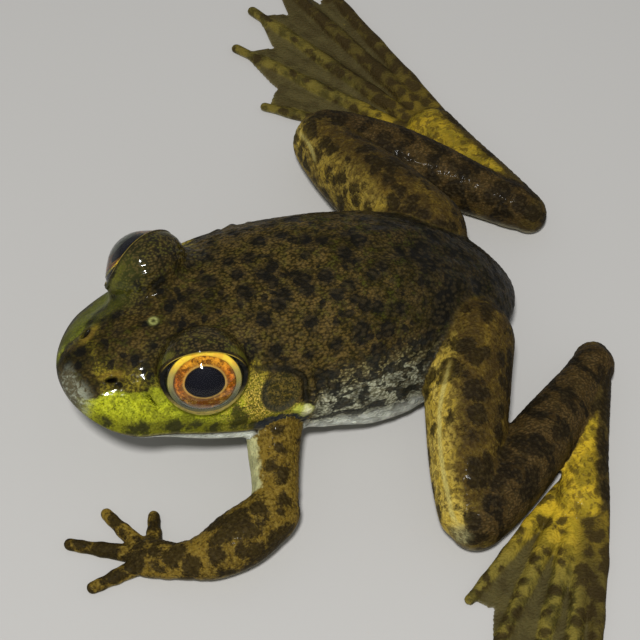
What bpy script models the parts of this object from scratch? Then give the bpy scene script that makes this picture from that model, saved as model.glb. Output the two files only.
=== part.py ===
"""A young American bullfrog at life size, sitting low with its hind legs folded.

The frog faces -Y, its left side is +X and it rests on the floor at Z = 0.
Head, jaw and trunk are cut from one lofted body. Each leg segment is a loft
along its own bone, and mitred where it folds against the next one.
"""

import math

import bmesh
import bpy
from mathutils import Matrix, Vector

MM = 0.001
GAP = 0.3 * MM

# How far the whole frog is carried so that its footprint is centred on the origin.
MIDDLE = (2.77, 0.91, 0.0)

# Driving dimensions, in millimetres.
SNOUT_Y = -35.0
NOSE_Z = 15.6
NECK = 27.0
BODY_END = 61.5
MOUTH_FRONT_Z = 13.7
MOUTH_BACK_Z = 9.4
HEAD_TURN = math.radians(8.5)
TURN_PIVOT_Y = -10.5
SNOUT_LEAN = 0.9

EYE_RADIUS = 5.0
EYE_X = 8.7
EYE_BACK = 15.2
EYE_Z = 19.15
EYE_OUT = math.radians(70)
EYE_UP = math.radians(21)
LID_THICKNESS = 0.55

EAR_RADIUS = 2.7
EAR_BACK = 23.9
EAR_Z = 15.0
EAR_UP = math.radians(28)

NOSTRIL_X = 3.7
NOSTRIL_BACK = 5.0

# Distance behind the snout: half width, height of the back, of the widest line, of the belly,
# then how pinched the upper and the lower half of the section are (1 is an ellipse).
BODY = (
    (0.0, 7.4, 17.9, 14.6, 13.0, 1.15, 0.95),
    (5.0, 9.4, 18.8, 13.0, 11.0, 1.25, 0.9),
    (10.0, 11.2, 20.0, 11.6, 9.2, 1.2, 0.85),
    (15.0, 12.8, 20.8, 10.5, 7.8, 1.05, 0.8),
    (20.0, 13.9, 21.2, 9.6, 6.6, 0.92, 0.8),
    (25.0, 14.2, 21.5, 8.9, 5.2, 0.88, 0.8),
    (30.0, 14.3, 21.8, 8.0, 3.0, 0.9, 0.74),
    (36.0, 14.3, 21.9, 7.4, 0.8, 0.94, 0.72),
    (42.0, 13.7, 21.1, 7.2, -0.5, 0.96, 0.74),
    (48.0, 12.0, 19.0, 7.6, -0.6, 0.96, 0.84),
    (54.0, 8.9, 15.3, 7.4, 0.2, 0.94, 0.9),
    (59.0, 6.4, 11.4, 7.0, 2.2, 0.95, 0.95),
    (61.5, 5.4, 9.2, 6.8, 3.4, 1.0, 1.0),
)

SKIN = ("skin", (0.16, 0.13, 0.04), 0.45)
PALE = ("belly", (0.62, 0.6, 0.5), 0.5)
LEG = ("leg", (0.28, 0.22, 0.05), 0.45)
EYE = ("eye", (0.45, 0.2, 0.03), 0.1)
EAR = ("ear", (0.2, 0.17, 0.05), 0.45)


def clear_scene():
    for old in list(bpy.data.objects):
        bpy.data.objects.remove(old)


def collection(name):
    made = bpy.data.collections.new(name)
    bpy.context.scene.collection.children.link(made)
    return made


def material(spec):
    name, colour, roughness = spec
    made = bpy.data.materials.get(name)
    if made is None:
        made = bpy.data.materials.new(name)
        made.use_nodes = True
        shader = made.node_tree.nodes["Principled BSDF"]
        shader.inputs["Base Color"].default_value = (*colour, 1.0)
        shader.inputs["Roughness"].default_value = roughness
        shader.inputs["Metallic"].default_value = 0.0
    return made


def mesh_object(name, points, faces, spec):
    """An object of these points, given in millimetres, in the frog's collection."""
    mesh = bpy.data.meshes.new(name)
    mesh.from_pydata([Vector(p) * MM for p in points], [], faces)
    mesh.materials.append(material(spec))
    mesh.shade_smooth()
    made = bpy.data.objects.new(name, mesh)
    frog.objects.link(made)
    return made


# ---------------------------------------------------------------- curves and lofts


def eased(table, x, column=1):
    """The table's column at x, on a smooth curve that never overshoots its stations."""
    i = max(k for k in range(len(table) - 1) if k == 0 or table[k][0] <= x)

    def slope(k):
        if k in (0, len(table) - 1):
            return 0.0 if k else run(0)
        a, b = run(k - 1), run(k)
        return 2 * a * b / (a + b) if a * b > 0 else 0.0

    def run(k):
        return (table[k + 1][column] - table[k][column]) / (table[k + 1][0] - table[k][0])

    width = table[i + 1][0] - table[i][0]
    t = min(max((x - table[i][0]) / width, 0.0), 1.0)
    start, end = table[i][column], table[i + 1][column]
    last = run(i) if i + 2 == len(table) else slope(i + 1)
    return (
        start * (2 * t**3 - 3 * t**2 + 1)
        + slope(i) * width * (t**3 - 2 * t**2 + t)
        + end * (3 * t**2 - 2 * t**3)
        + last * width * (t**3 - t**2)
    )


def rounding(distance, reach):
    """0 at a rounded end, rising to 1 on a quarter ellipse of this reach."""
    t = min(max(distance / reach, 0.0), 1.0)
    return math.sqrt(1 - (1 - t) ** 2)


def turned(point):
    """The point after the head has turned to the frog's left on a smooth bend."""
    t = min(max((5.0 - point.y) / 20.0, 0.0), 1.0)
    angle = HEAD_TURN * t * t * (3 - 2 * t)
    t = min(max((-24.0 - point.y) / 9.0, 0.0), 1.0)
    lean = Vector((SNOUT_LEAN * t * t * (3 - 2 * t), 0.0, 0.0))
    pivot = Vector((0.0, TURN_PIVOT_Y, 0.0))
    return pivot + Matrix.Rotation(angle, 3, "Z") @ (point + lean - pivot)


def power(value, exponent):
    return math.copysign(abs(value) ** exponent, value)


def skin_of_rings(name, rings, spec):
    """A closed body of equal rings, each end closed by a fan."""
    count = len(rings[0])
    points = [p for ring in rings for p in ring]
    faces = []
    for k in range(len(rings) - 1):
        for j in range(count):
            a, b = k * count + j, k * count + (j + 1) % count
            faces.append((a, b, b + count, a + count))
    for ring, flip in ((rings[0], True), (rings[-1], False)):
        centre = sum(ring, Vector()) / count
        points.append(centre)
        first = 0 if flip else (len(rings) - 1) * count
        for j in range(count):
            a, b = first + j, first + (j + 1) % count
            faces.append((b, a, len(points) - 1) if flip else (a, b, len(points) - 1))
    return mesh_object(name, points, faces, spec)


# ---------------------------------------------------------------- trimming


def apply_modifiers(thing):
    graph = bpy.context.evaluated_depsgraph_get()
    mesh = bpy.data.meshes.new_from_object(thing.evaluated_get(graph))
    thing.modifiers.clear()
    thing.data = mesh


def combine(thing, other, operation):
    """Joins, cuts or intersects a mesh with another, and applies the result."""
    boolean = thing.modifiers.new(operation, "BOOLEAN")
    boolean.operation = operation
    boolean.object = other
    bpy.context.view_layer.update()
    apply_modifiers(thing)


def cutter_of(thing):
    """A copy of the thing, swollen by the gap, that cuts its neighbours."""
    cutter = bpy.data.objects.new(thing.name + "_cutter", thing.data.copy())
    tools.objects.link(cutter)
    cutter.hide_render = True
    cutter.display_type = "WIRE"
    swell = cutter.modifiers.new("swell", "DISPLACE")
    swell.strength = GAP
    swell.mid_level = 0.0
    return cutter


def fit_against(thing, *neighbours):
    for neighbour in neighbours:
        combine(thing, cutter_of(neighbour), "DIFFERENCE")


def trim(thing, point, outward):
    """Cuts the thing off flat, half a gap short of the plane."""
    mesh = thing.data
    cut = bmesh.new()
    cut.from_mesh(mesh)
    normal = Vector(outward).normalized()
    place = Vector(point) * MM - normal * GAP / 2
    everything = cut.verts[:] + cut.edges[:] + cut.faces[:]
    bmesh.ops.bisect_plane(
        cut, geom=everything, dist=1e-7, plane_co=place, plane_no=normal, clear_outer=True
    )
    rim = [edge for edge in cut.edges if edge.is_boundary]
    bmesh.ops.contextual_create(cut, geom=rim)
    cut.to_mesh(mesh)
    cut.free()


def copied(thing, name, spec):
    twin = bpy.data.objects.new(name, thing.data.copy())
    twin.data.materials.clear()
    twin.data.materials.append(material(spec))
    frog.objects.link(twin)
    return twin


def remove(thing):
    bpy.data.objects.remove(thing)


# ---------------------------------------------------------------- head and trunk

BODY_SIDES = 28
RING_PLACES = (
    (0.12, 0.6, 1.5, 3.0, 5.0, 7.5, 10.0, 12.5, 15.0, 17.5, 20.0, 22.5, 25.0, 27.5)
    + (30.5, 34.0, 37.5, 41.0, 44.5, 48.0, 51.0, 53.5, 55.8, 57.8, 59.5, 60.7, 61.4)
)


def body_ring(back):
    """The body's outline at this distance behind the snout."""
    half, top, widest, low, pinch_up, pinch_down = (eased(BODY, back, k) for k in range(1, 7))
    nose, rump = rounding(back, 7.0), rounding(BODY_END - back, 5.0)
    half *= nose * rump
    core = NOSE_Z + (widest - NOSE_Z) * rounding(back, 5.0)
    top = core + (top - core) * rounding(back, 3.5) * rump
    low = core + (low - core) * rounding(back, 3.0) * rump
    ring = []
    for k in range(BODY_SIDES):
        angle = math.tau * k / BODY_SIDES
        across, up = math.cos(angle), math.sin(angle)
        pinch = pinch_up if up > 0 else pinch_down
        reach = top - core if up > 0 else core - low
        x = half * power(across, pinch)
        z = core + reach * power(up, pinch)
        ring.append(turned(Vector((x, SNOUT_Y + back, max(z, 0.0)))))
    return ring


def make_body():
    rings = [body_ring(back)[::-1] for back in RING_PLACES]
    return skin_of_rings("body", rings, SKIN)


def head_point(x, back, z):
    return turned(Vector((x, SNOUT_Y + back, z)))


def head_direction(side, out, up):
    """A direction leaving the head sideways, for the turned head."""
    straight = Vector(
        (side * math.sin(out) * math.cos(up), -math.cos(out) * math.cos(up), math.sin(up))
    )
    return Matrix.Rotation(HEAD_TURN, 3, "Z") @ straight


def ball(name, centre, radius, spec, group, segments=20, rings=12):
    bpy.ops.mesh.primitive_uv_sphere_add(
        segments=segments, ring_count=rings, radius=radius * MM, location=centre * MM
    )
    return settled(name, spec, group)


def settled(name, spec, group):
    """The primitive just added, named, given its material and put in its collection."""
    made = bpy.context.object
    made.name = name
    made.data.transform(made.matrix_world)
    made.matrix_world = Matrix.Identity(4)
    for owner in list(made.users_collection):
        owner.objects.unlink(made)
    group.objects.link(made)
    made.data.materials.append(material(spec))
    made.data.shade_smooth()
    if group == tools:
        made.hide_render = True
        made.display_type = "WIRE"
    return made


def rod(name, start, axis, length, radius, spec, group, widen=1.0, sides=24):
    """A round rod from its start along an axis, widening by this factor."""
    bpy.ops.mesh.primitive_cone_add(
        vertices=sides,
        radius1=radius * MM,
        radius2=radius * widen * MM,
        depth=length * MM,
        location=(start + axis * length / 2) * MM,
        rotation=axis.to_track_quat("Z", "Y").to_euler(),
    )
    return settled(name, spec, group)


def make_head(body):
    mouth_slope = (MOUTH_BACK_Z - MOUTH_FRONT_Z) / NECK
    mouth_point = Vector((0.0, SNOUT_Y, MOUTH_FRONT_Z))
    mouth_up = Vector((0.0, -mouth_slope, 1.0))
    neck_point = head_point(0.0, NECK, 0.0)
    neck_back = Matrix.Rotation(HEAD_TURN, 3, "Z") @ Vector((0.0, 1.0, 0.0))

    trunk = copied(body, "trunk", SKIN)
    trim(trunk, neck_point, -neck_back)
    jaw = copied(body, "lower_jaw", PALE)
    trim(jaw, neck_point, neck_back)
    trim(jaw, mouth_point, mouth_up)
    head = copied(body, "head", SKIN)
    trim(head, neck_point, neck_back)
    trim(head, mouth_point, -mouth_up)
    remove(body)
    for side, word in ((1, "left"), (-1, "right")):
        make_eye(head, side, word)
        make_ear(head, side, word)
        cut_nostril(head, side)
    return head, jaw, trunk


def make_eye(head, side, word):
    """The eyeball in its socket, under a lid that stands round it."""
    centre = head_point(side * EYE_X, EYE_BACK, EYE_Z)
    outward = head_direction(side, EYE_OUT, EYE_UP)
    lid = ball("lid", centre, EYE_RADIUS + LID_THICKNESS, SKIN, tools)
    combine(head, lid, "UNION")
    opening = rod("opening", centre, outward, 8.0, 4.4, SKIN, tools, widen=1.25)
    combine(head, opening, "DIFFERENCE")
    eye = ball("eye_" + word, centre, EYE_RADIUS, EYE, frog)
    fit_against(head, eye)


def side_of_head(back, z):
    """Half the head's width at this height above its widest line."""
    half, top, widest, _, pinch = (eased(BODY, back, k) for k in range(1, 6))
    up = ((z - widest) / (top - widest)) ** (1 / pinch)
    return half * math.sqrt(1 - up * up) ** pinch


def make_ear(head, side, word):
    """The eardrum: a round disc set flush in the side of the head."""
    outward = head_direction(side, math.radians(88), EAR_UP)
    place = head_point(side * side_of_head(EAR_BACK, EAR_Z), EAR_BACK, EAR_Z)
    start = place - outward * 2.0
    socket = rod("socket", start, outward, 5.0, EAR_RADIUS + 0.3, SKIN, tools, sides=20)
    combine(head, socket, "DIFFERENCE")
    start = start + outward * 0.3
    rod("eardrum_" + word, start, outward, 1.8, EAR_RADIUS, EAR, frog, widen=0.9, sides=20)


def cut_nostril(head, side):
    place = head_point(side * NOSTRIL_X, NOSTRIL_BACK, 18.2)
    hole = ball("nostril", place, 0.75, SKIN, tools, 12, 8)
    combine(head, hole, "DIFFERENCE")


# ---------------------------------------------------------------- legs

LIMB_SIDES = 20


def limb(name, stations, spec, sides=LIMB_SIDES, steps=11):
    """A fleshy tube through stations of (x, y, z, half width, half height), round at both ends."""
    marks = [0.0]
    for a, b in zip(stations, stations[1:]):
        marks.append(marks[-1] + (Vector(b[:3]) - Vector(a[:3])).length)
    table = [(mark, *station) for mark, station in zip(marks, stations)]
    total = marks[-1]
    rings = []
    for k in range(steps):
        place = total * (0.5 - 0.5 * math.cos(math.pi * (k + 0.35) / (steps - 0.3)))
        centre, ahead = (
            Vector([eased(table, min(max(s, 0.0), total), c) for c in (1, 2, 3)])
            for s in (place, place + 0.3)
        )
        if place + 0.3 > total:
            ahead = centre + (centre - Vector([eased(table, place - 0.3, c) for c in (1, 2, 3)]))
        along = (ahead - centre).normalized()
        across = Vector((0, 0, 1)).cross(along).normalized()
        upward = along.cross(across)
        wide, tall = (eased(table, place, c) for c in (4, 5))
        round_off = rounding(place, wide) * rounding(total - place, wide)
        ring = []
        for j in range(sides):
            angle = math.tau * j / sides
            point = centre + across * wide * round_off * math.cos(angle)
            point += upward * tall * round_off * math.sin(angle)
            point.z = max(point.z, 0.0)
            ring.append(point)
        rings.append(ring)
    return skin_of_rings(name, rings, spec)


def mirrored(stations):
    return [(-station[0], *station[1:]) for station in stations]


def mitre(first, second, joint, first_way, second_way):
    """Parts two folded segments along the plane that halves the angle between them."""
    a, b = Vector(first_way).normalized(), Vector(second_way).normalized()
    across = (b - a).normalized()
    trim(first, joint, across)
    trim(second, joint, -across)


# Each station: x, y, z, half width, half height.
THIGH = (
    (4.0, 20.0, 9.6, 4.6, 5.4),
    (9.4, 17.2, 9.4, 5.4, 6.3),
    (14.9, 14.7, 8.8, 5.4, 6.3),
    (20.4, 12.6, 7.6, 5.0, 5.7),
    (26.0, 10.6, 6.2, 4.3, 4.9),
    (30.0, 9.5, 5.2, 3.7, 4.2),
    (33.6, 8.8, 4.6, 3.2, 3.8),
)
SHANK = (
    (33.6, 7.6, 4.4, 3.3, 3.9),
    (31.2, 10.2, 4.6, 3.7, 4.3),
    (29.0, 13.4, 4.8, 4.1, 4.6),
    (25.4, 18.2, 4.8, 4.3, 4.7),
    (21.7, 22.8, 4.5, 4.0, 4.4),
    (17.9, 27.4, 4.0, 3.4, 3.9),
    (14.7, 31.2, 3.5, 2.9, 3.4),
    (11.4, 35.2, 3.3, 2.8, 3.2),
)
ANKLE = (
    (9.6, 34.4, 2.9, 2.4, 2.8),
    (13.2, 33.0, 2.8, 2.5, 2.8),
    (19.0, 30.6, 2.7, 2.4, 2.6),
    (25.0, 27.7, 2.4, 2.7, 2.3),
    (30.2, 25.2, 2.0, 3.3, 2.0),
    (33.0, 24.0, 1.8, 3.5, 1.7),
)
KNEE = (31.6, 9.4, 5.0)
HEEL = (12.6, 33.4, 3.2)
FOOT_ROOT = (28.8, 26.0, 0.0)
ANKLE_WAY = (0.925, -0.38, 0.0)
# The right ankle stands a little further open than the left one.
ANKLE_SWING = {"left": 0.0, "right": 4.0}
# The right knee and heel do not lie exactly as the left ones do.
KNEE_SHIFT = {"left": (0.0, 0.0, 0.0), "right": (-1.1, 1.1, 0.0)}
HEEL_SHIFT = {"left": (0.0, 0.0, 0.0), "right": (-1.3, -0.3, 0.0)}
ANKLE_BACK = {"left": 0.0, "right": 1.2}


def swung(side, word, point):
    """A point of the ankle or foot, opened about the heel by this leg's own angle."""
    heel = Vector((side * HEEL[0], HEEL[1], 0.0))
    turn = Matrix.Rotation(math.radians(ANKLE_SWING[word]) * side, 3, "Z")
    offset = Vector((0.0, ANKLE_BACK[word], 0.0)) + Vector(HEEL_SHIFT[word])
    return heel + offset + turn @ (Vector(point[:3]) - heel)


def shifted(stations, first, last):
    """The stations moved by the first shift at one end and the last one at the other."""
    moved = []
    for k, station in enumerate(stations):
        shift = Vector(first).lerp(Vector(last), k / (len(stations) - 1))
        moved.append((*(Vector(station[:3]) + shift), *station[3:]))
    return moved


def make_hind_leg(side, word, trunk):
    flip = mirrored if side < 0 else list
    sign = Vector((side, 1, 1))
    ankle_line = [(*swung(side, word, station), *station[3:]) for station in flip(ANKLE)]
    knee_shift, heel_shift = KNEE_SHIFT[word], HEEL_SHIFT[word]
    thigh = limb("thigh_" + word, shifted(flip(THIGH), (0, 0, 0), knee_shift), LEG)
    shank = limb("shank_" + word, shifted(flip(SHANK), knee_shift, heel_shift), LEG)
    ankle = limb("ankle_" + word, ankle_line, LEG)
    to_hip = Vector(THIGH[2][:3]) - Vector(THIGH[5][:3])
    to_heel = Vector(SHANK[6][:3]) - Vector(SHANK[1][:3])
    for way in (to_hip, to_heel):
        way.z = 0.0
    to_toes = Matrix.Rotation(math.radians(ANKLE_SWING[word]) * side, 3, "Z") @ (
        Vector(ANKLE_WAY) * sign
    )
    knee = Vector(KNEE) * sign + Vector(knee_shift)
    mitre(thigh, shank, knee, to_hip * sign, to_heel * sign)
    heel = Vector(HEEL) * sign + Vector(heel_shift) + Vector((0, ANKLE_BACK[word] / 2, 0))
    mitre(shank, ankle, heel, -to_heel * sign, to_toes)
    root = swung(side, word, Vector(FOOT_ROOT) * sign)
    trim(ankle, root, to_toes)
    fit_against(thigh, trunk)
    foot = make_foot(side, word, root, to_toes)
    trim(foot, root, -to_toes)
    fit_against(ankle, shank)
    fit_against(foot, shank)
    return thigh, shank, ankle, foot


# Toes, inner to outer: degrees from straight out to the side towards the front, length, half width.
TOES = {
    "left": ((55, 22.0, 1.15), (43, 28.5, 1.2), (34, 33.5, 1.25), (28, 39.5, 1.3), (24, 32.0, 1.3)),
    "right": ((54, 25.0, 1.15), (40, 34.0, 1.2), (30, 37.0, 1.25), (21, 41.5, 1.3), (15, 34.0, 1.3)),
}
TOE_ROWS = 12
WEB = 0.6
WEB_DIP = 0.2


def toe_line(side, toe, measures, root, ankle_way):
    """The root and the way of one toe, fanned out from the end of the ankle."""
    degrees, length, _ = measures[toe]
    angle = math.radians(degrees)
    way = Vector((side * math.cos(angle), -math.sin(angle), 0.0))
    across = Vector((-ankle_way.y, ankle_way.x, 0.0)) * side
    return root - ankle_way * 1.0 + across * (toe - 2) * 1.15, way, length


def make_foot(side, word, root, ankle_way):
    """A webbed foot: ridges for the toes and a thin web between them, flat on the floor."""
    columns = []
    measures = TOES[word]
    for toe in range(len(measures)):
        start, way, length = toe_line(side, toe, measures, root, ankle_way)
        half = measures[toe][2]
        beside = Vector((-way.y * side, way.x * side, 0.0))
        for share in (-1.0, -0.55, 0.0, 0.55, 1.0):
            columns.append(toe_column(start, way, beside, length, half, share))
        if toe + 1 < len(measures):
            for share in (0.25, 0.5, 0.75):
                columns.append((toe, share))
    filled = fill_webs(columns)
    return slab("foot_" + word, filled, side)


def toe_column(root, way, beside, length, half, share):
    """Points along one lengthwise line of a toe, from its root to its tip."""
    points = []
    for row in range(TOE_ROWS):
        along = row / (TOE_ROWS - 1)
        reach = length * along
        wide = min(half * (1.0 - 0.5 * along), 0.45 + 0.07 * reach)
        tall = 1.75 * half * (1.0 - 0.5 * along)
        if row == TOE_ROWS - 1:
            wide *= 0.55
            reach -= 0.9 * abs(share)
        flesh = 2.6 * max(0.0, 1.0 - reach / 8.0)
        point = root + way * reach + beside * share * wide
        point.z = max(tall * math.sqrt(max(1.0 - share**2, 0.0)), flesh, WEB)
        points.append(point)
    return points


def fill_webs(columns):
    """Puts the web's own lines between the toes, dipping towards the root along its rim."""
    filled = []
    for index, column in enumerate(columns):
        if not isinstance(column, tuple):
            filled.append(column)
            continue
        toe, share = column
        left, right = columns[toe * 8 + 4], columns[toe * 8 + 8]
        root = (left[0] + right[0]) / 2
        line = []
        for row in range(TOE_ROWS):
            along = row / (TOE_ROWS - 1)
            point = left[row].lerp(right[row], share)
            pull = 1.0 - WEB_DIP * math.sin(math.pi * share) * along**2
            point = root + (point - root) * pull
            point.z = max(left[row].z * (1 - share) + right[row].z * share, WEB)
            line.append(point)
        filled.append(line)
    return filled


def slab(name, columns, side):
    """A flat-bottomed body whose top is this grid of columns."""
    rows = len(columns[0])
    points = [p for column in columns for p in column]
    faces = []
    for c in range(len(columns) - 1):
        for r in range(rows - 1):
            a = c * rows + r
            faces.append((a, a + 1, a + 1 + rows, a + rows))
    last = len(columns) - 1
    rim = [r for r in range(rows)]
    rim += [c * rows + rows - 1 for c in range(1, last + 1)]
    rim += [last * rows + r for r in range(rows - 2, -1, -1)]
    rim += [c * rows for c in range(last - 1, 0, -1)]
    first = len(points)
    points += [Vector((points[k].x, points[k].y, 0.0)) for k in rim]
    for k in range(len(rim)):
        n = (k + 1) % len(rim)
        faces.append((rim[n], rim[k], first + k, first + n))
    faces.append(tuple(range(first, first + len(rim))))
    made = mesh_object(name, points, faces, LEG)
    face_outward(made)
    return made


def face_outward(thing):
    shape = bmesh.new()
    shape.from_mesh(thing.data)
    bmesh.ops.recalc_face_normals(shape, faces=shape.faces)
    shape.to_mesh(thing.data)
    shape.free()


# ---------------------------------------------------------------- arms

# The left arm reaches out and forward; the right one is tucked in beside the chest.
ARMS = {
    "left": {
        "upper": (
            (5.0, -7.0, 9.2, 3.6, 4.2),
            (10.5, -9.2, 8.4, 3.6, 3.9),
            (15.0, -10.8, 7.2, 3.3, 3.5),
            (19.5, -12.0, 6.0, 2.9, 3.2),
            (24.4, -13.4, 5.0, 2.8, 3.0),
        ),
        "elbow": (22.9, -12.8, 5.0),
        "fore": (
            (22.2, -10.2, 5.2, 2.6, 2.9),
            (23.4, -13.6, 5.0, 3.3, 3.5),
            (25.0, -18.0, 4.3, 3.7, 3.7),
            (25.7, -22.0, 3.3, 3.1, 3.0),
            (25.0, -25.4, 2.5, 2.3, 2.2),
            (23.6, -28.0, 2.0, 2.2, 1.9),
        ),
        "wrist": (24.7, -26.0, 2.2),
        "wrist_way": (-0.45, -0.9, 0.0),
        "palm": (
            (25.6, -24.4, 2.3, 2.0, 2.0),
            (24.2, -27.0, 2.0, 2.4, 1.9),
            (22.7, -29.4, 1.6, 2.7, 1.6),
            (21.6, -31.2, 1.2, 2.3, 1.2),
        ),
        "roots": ((22.0, -28.2), (21.2, -29.4), (21.8, -30.2), (23.2, -30.0)),
        "tips": ((16.2, -26.6), (14.2, -32.6), (17.4, -38.4), (24.6, -37.4)),
    },
    "right": {
        "upper": (
            (-3.0, -6.6, 8.4, 3.2, 3.6),
            (-6.0, -6.0, 7.4, 3.2, 3.4),
            (-9.4, -4.8, 5.8, 2.9, 3.1),
            (-12.6, -3.2, 4.4, 2.8, 2.9),
            (-15.0, -2.0, 3.8, 2.7, 2.8),
        ),
        "elbow": (-13.6, -2.6, 4.2),
        "fore": (
            (-13.8, 0.2, 3.9, 2.5, 2.7),
            (-14.2, -3.2, 3.9, 3.1, 3.2),
            (-14.4, -7.8, 3.7, 3.4, 3.4),
            (-13.9, -12.0, 3.0, 2.9, 2.8),
            (-13.0, -15.4, 2.5, 2.2, 2.1),
            (-12.0, -18.0, 2.0, 2.1, 1.8),
        ),
        "wrist": (-12.8, -16.0, 2.2),
        "wrist_way": (0.35, -0.94, 0.0),
        "palm": (
            (-13.6, -14.4, 2.3, 2.0, 2.0),
            (-12.5, -17.0, 2.0, 2.4, 1.9),
            (-11.4, -19.6, 1.6, 2.7, 1.6),
            (-10.6, -21.4, 1.2, 2.3, 1.2),
        ),
        "roots": ((-10.7, -18.4), (-10.0, -19.8), (-10.9, -20.6), (-12.2, -20.2)),
        "tips": ((-4.8, -18.0), (-3.6, -24.0), (-8.2, -29.0), (-14.8, -27.2)),
    },
}


def make_arm(side, word, head, jaw, trunk):
    measures = ARMS[word]
    upper = limb("upper_arm_" + word, measures["upper"], LEG, sides=16, steps=10)
    fore = limb("forearm_" + word, measures["fore"], LEG, sides=16, steps=10)
    elbow = Vector(measures["elbow"])
    back_along, ahead = (
        Vector(measures[part][k][:3]) - elbow for part, k in (("upper", 1), ("fore", 3))
    )
    for way in (back_along, ahead):
        way.z = 0.0
    mitre(upper, fore, elbow, back_along, ahead)
    wrist, wrist_way = Vector(measures["wrist"]), Vector(measures["wrist_way"])
    trim(fore, wrist, wrist_way)
    fit_against(upper, trunk, jaw, head)
    fit_against(fore, trunk)
    hand = limb("hand_" + word, measures["palm"], LEG, sides=12, steps=7)
    for root, tip in zip(measures["roots"], measures["tips"]):
        combine(hand, finger(root, tip), "UNION")
    trim(hand, wrist, -wrist_way)
    return upper, fore, hand


def finger(root, tip):
    """A tapering finger with a rounded tip, lying on the floor."""
    stations = []
    for share, half, tall in ((0.0, 1.2, 1.2), (0.4, 1.0, 1.0), (0.75, 0.75, 0.8), (1.0, 0.7, 0.7)):
        x = root[0] + (tip[0] - root[0]) * share
        y = root[1] + (tip[1] - root[1]) * share
        stations.append((x, y, tall * 0.92, half, tall))
    made = limb("finger", stations, LEG, sides=8, steps=7)
    frog.objects.unlink(made)
    tools.objects.link(made)
    made.hide_render = True
    made.display_type = "WIRE"
    return made


def carry(group):
    """Hangs every piece of the group on one empty that stands on the floor."""
    base = bpy.data.objects.new("floor_point", None)
    base.empty_display_size = 0.01
    base.location = Vector(MIDDLE) * MM
    group.objects.link(base)
    for piece in group.objects:
        if piece is not base:
            piece.parent = base


clear_scene()
frog = collection("bullfrog")
tools = collection("cutters")
head, lower_jaw, trunk = make_head(make_body())
for side, word in ((1, "left"), (-1, "right")):
    make_hind_leg(side, word, trunk)
    make_arm(side, word, head, lower_jaw, trunk)
carry(frog)
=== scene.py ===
# %% [markdown]
# # A young bullfrog, sitting low
# A life-size frog, about 62 mm from snout to rump, with its hind legs folded and its
# head turned a little to its left. The measured solids give every outline. Here they get
# one continuous skin with lids, folds and grains, two glassy eyes, and wet, spotted colours.

import math

import bmesh
import bpy
import numpy as np
from mathutils import Matrix, Vector, kdtree

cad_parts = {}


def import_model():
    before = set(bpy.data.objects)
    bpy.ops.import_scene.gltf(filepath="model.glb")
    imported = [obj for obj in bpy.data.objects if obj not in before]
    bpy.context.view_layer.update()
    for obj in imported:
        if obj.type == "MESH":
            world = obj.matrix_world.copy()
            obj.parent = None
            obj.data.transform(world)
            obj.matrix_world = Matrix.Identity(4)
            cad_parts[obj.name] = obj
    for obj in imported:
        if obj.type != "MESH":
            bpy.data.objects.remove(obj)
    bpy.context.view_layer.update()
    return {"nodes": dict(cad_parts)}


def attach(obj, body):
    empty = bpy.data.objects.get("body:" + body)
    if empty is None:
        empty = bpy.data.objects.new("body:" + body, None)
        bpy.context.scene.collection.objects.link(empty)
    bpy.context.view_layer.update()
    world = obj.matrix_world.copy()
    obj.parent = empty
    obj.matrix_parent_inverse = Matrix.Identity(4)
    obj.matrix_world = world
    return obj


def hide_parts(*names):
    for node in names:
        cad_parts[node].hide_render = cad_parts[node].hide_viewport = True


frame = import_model()

# %% [markdown]
# Everything is worked out in millimetres, in the frog's own frame: the snout points to -Y,
# its left side is +X and the floor is Z = 0. `MIDDLE` carries that frame to where the
# solids stand. Small numbers such as 0.25 are easier to judge than 0.00025.

# %% The frog's measures
MM = 0.001
MIDDLE = np.array((2.77, 0.91, 0.0))
SNOUT_Y = -35.0
NOSE_Z = 15.6
BODY_END = 61.5
MOUTH_FRONT_Z, MOUTH_BACK_Z, MOUTH_END = 13.7, 9.4, 26.5
HEAD_TURN = math.radians(8.5)
TURN_PIVOT_Y = -10.5
SNOUT_LEAN = 0.9
EYE_RADIUS, EYE_X, EYE_BACK, EYE_Z = 5.0, 8.7, 15.2, 19.15
EYE_OUT, EYE_UP = math.radians(70), math.radians(21)
EAR_RADIUS, EAR_BACK, EAR_Z = 2.7, 23.9, 15.0
NOSTRIL = (3.8, 5.0, 18.1)
SIDES = (("left", 1), ("right", -1))

# Distance behind the snout: half width, heights of the back, the widest line and the belly,
# then how pinched the upper and lower half of the section are (1 is an ellipse).
BODY = (
    (0.0, 7.4, 17.9, 14.6, 13.0, 1.15, 0.95),
    (5.0, 9.4, 18.8, 13.0, 11.0, 1.25, 0.9),
    (10.0, 11.2, 20.0, 11.6, 9.2, 1.2, 0.85),
    (15.0, 12.8, 20.8, 10.5, 7.8, 1.05, 0.8),
    (20.0, 13.9, 21.2, 9.6, 6.6, 0.92, 0.8),
    (25.0, 14.2, 21.5, 8.9, 5.2, 0.88, 0.8),
    (30.0, 14.3, 21.8, 8.0, 3.0, 0.9, 0.74),
    (36.0, 14.3, 21.9, 7.4, 0.8, 0.94, 0.72),
    (42.0, 13.7, 21.1, 7.2, -0.5, 0.96, 0.74),
    (48.0, 12.0, 19.0, 7.6, -0.6, 0.96, 0.84),
    (54.0, 8.9, 15.3, 7.4, 0.2, 0.94, 0.9),
    (59.0, 6.4, 11.4, 7.0, 2.2, 0.95, 0.95),
    (61.5, 5.4, 9.2, 6.8, 3.4, 1.0, 1.0),
)
print("body stations:", len(BODY))

# %% [markdown]
# ## Curves through a few stations
# A frog has no straight lines, so each form is a short table of stations and a curve that
# runs through them. Numpy works on whole arrays, which makes a section of a thousand
# points as easy to write as one point.

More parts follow.
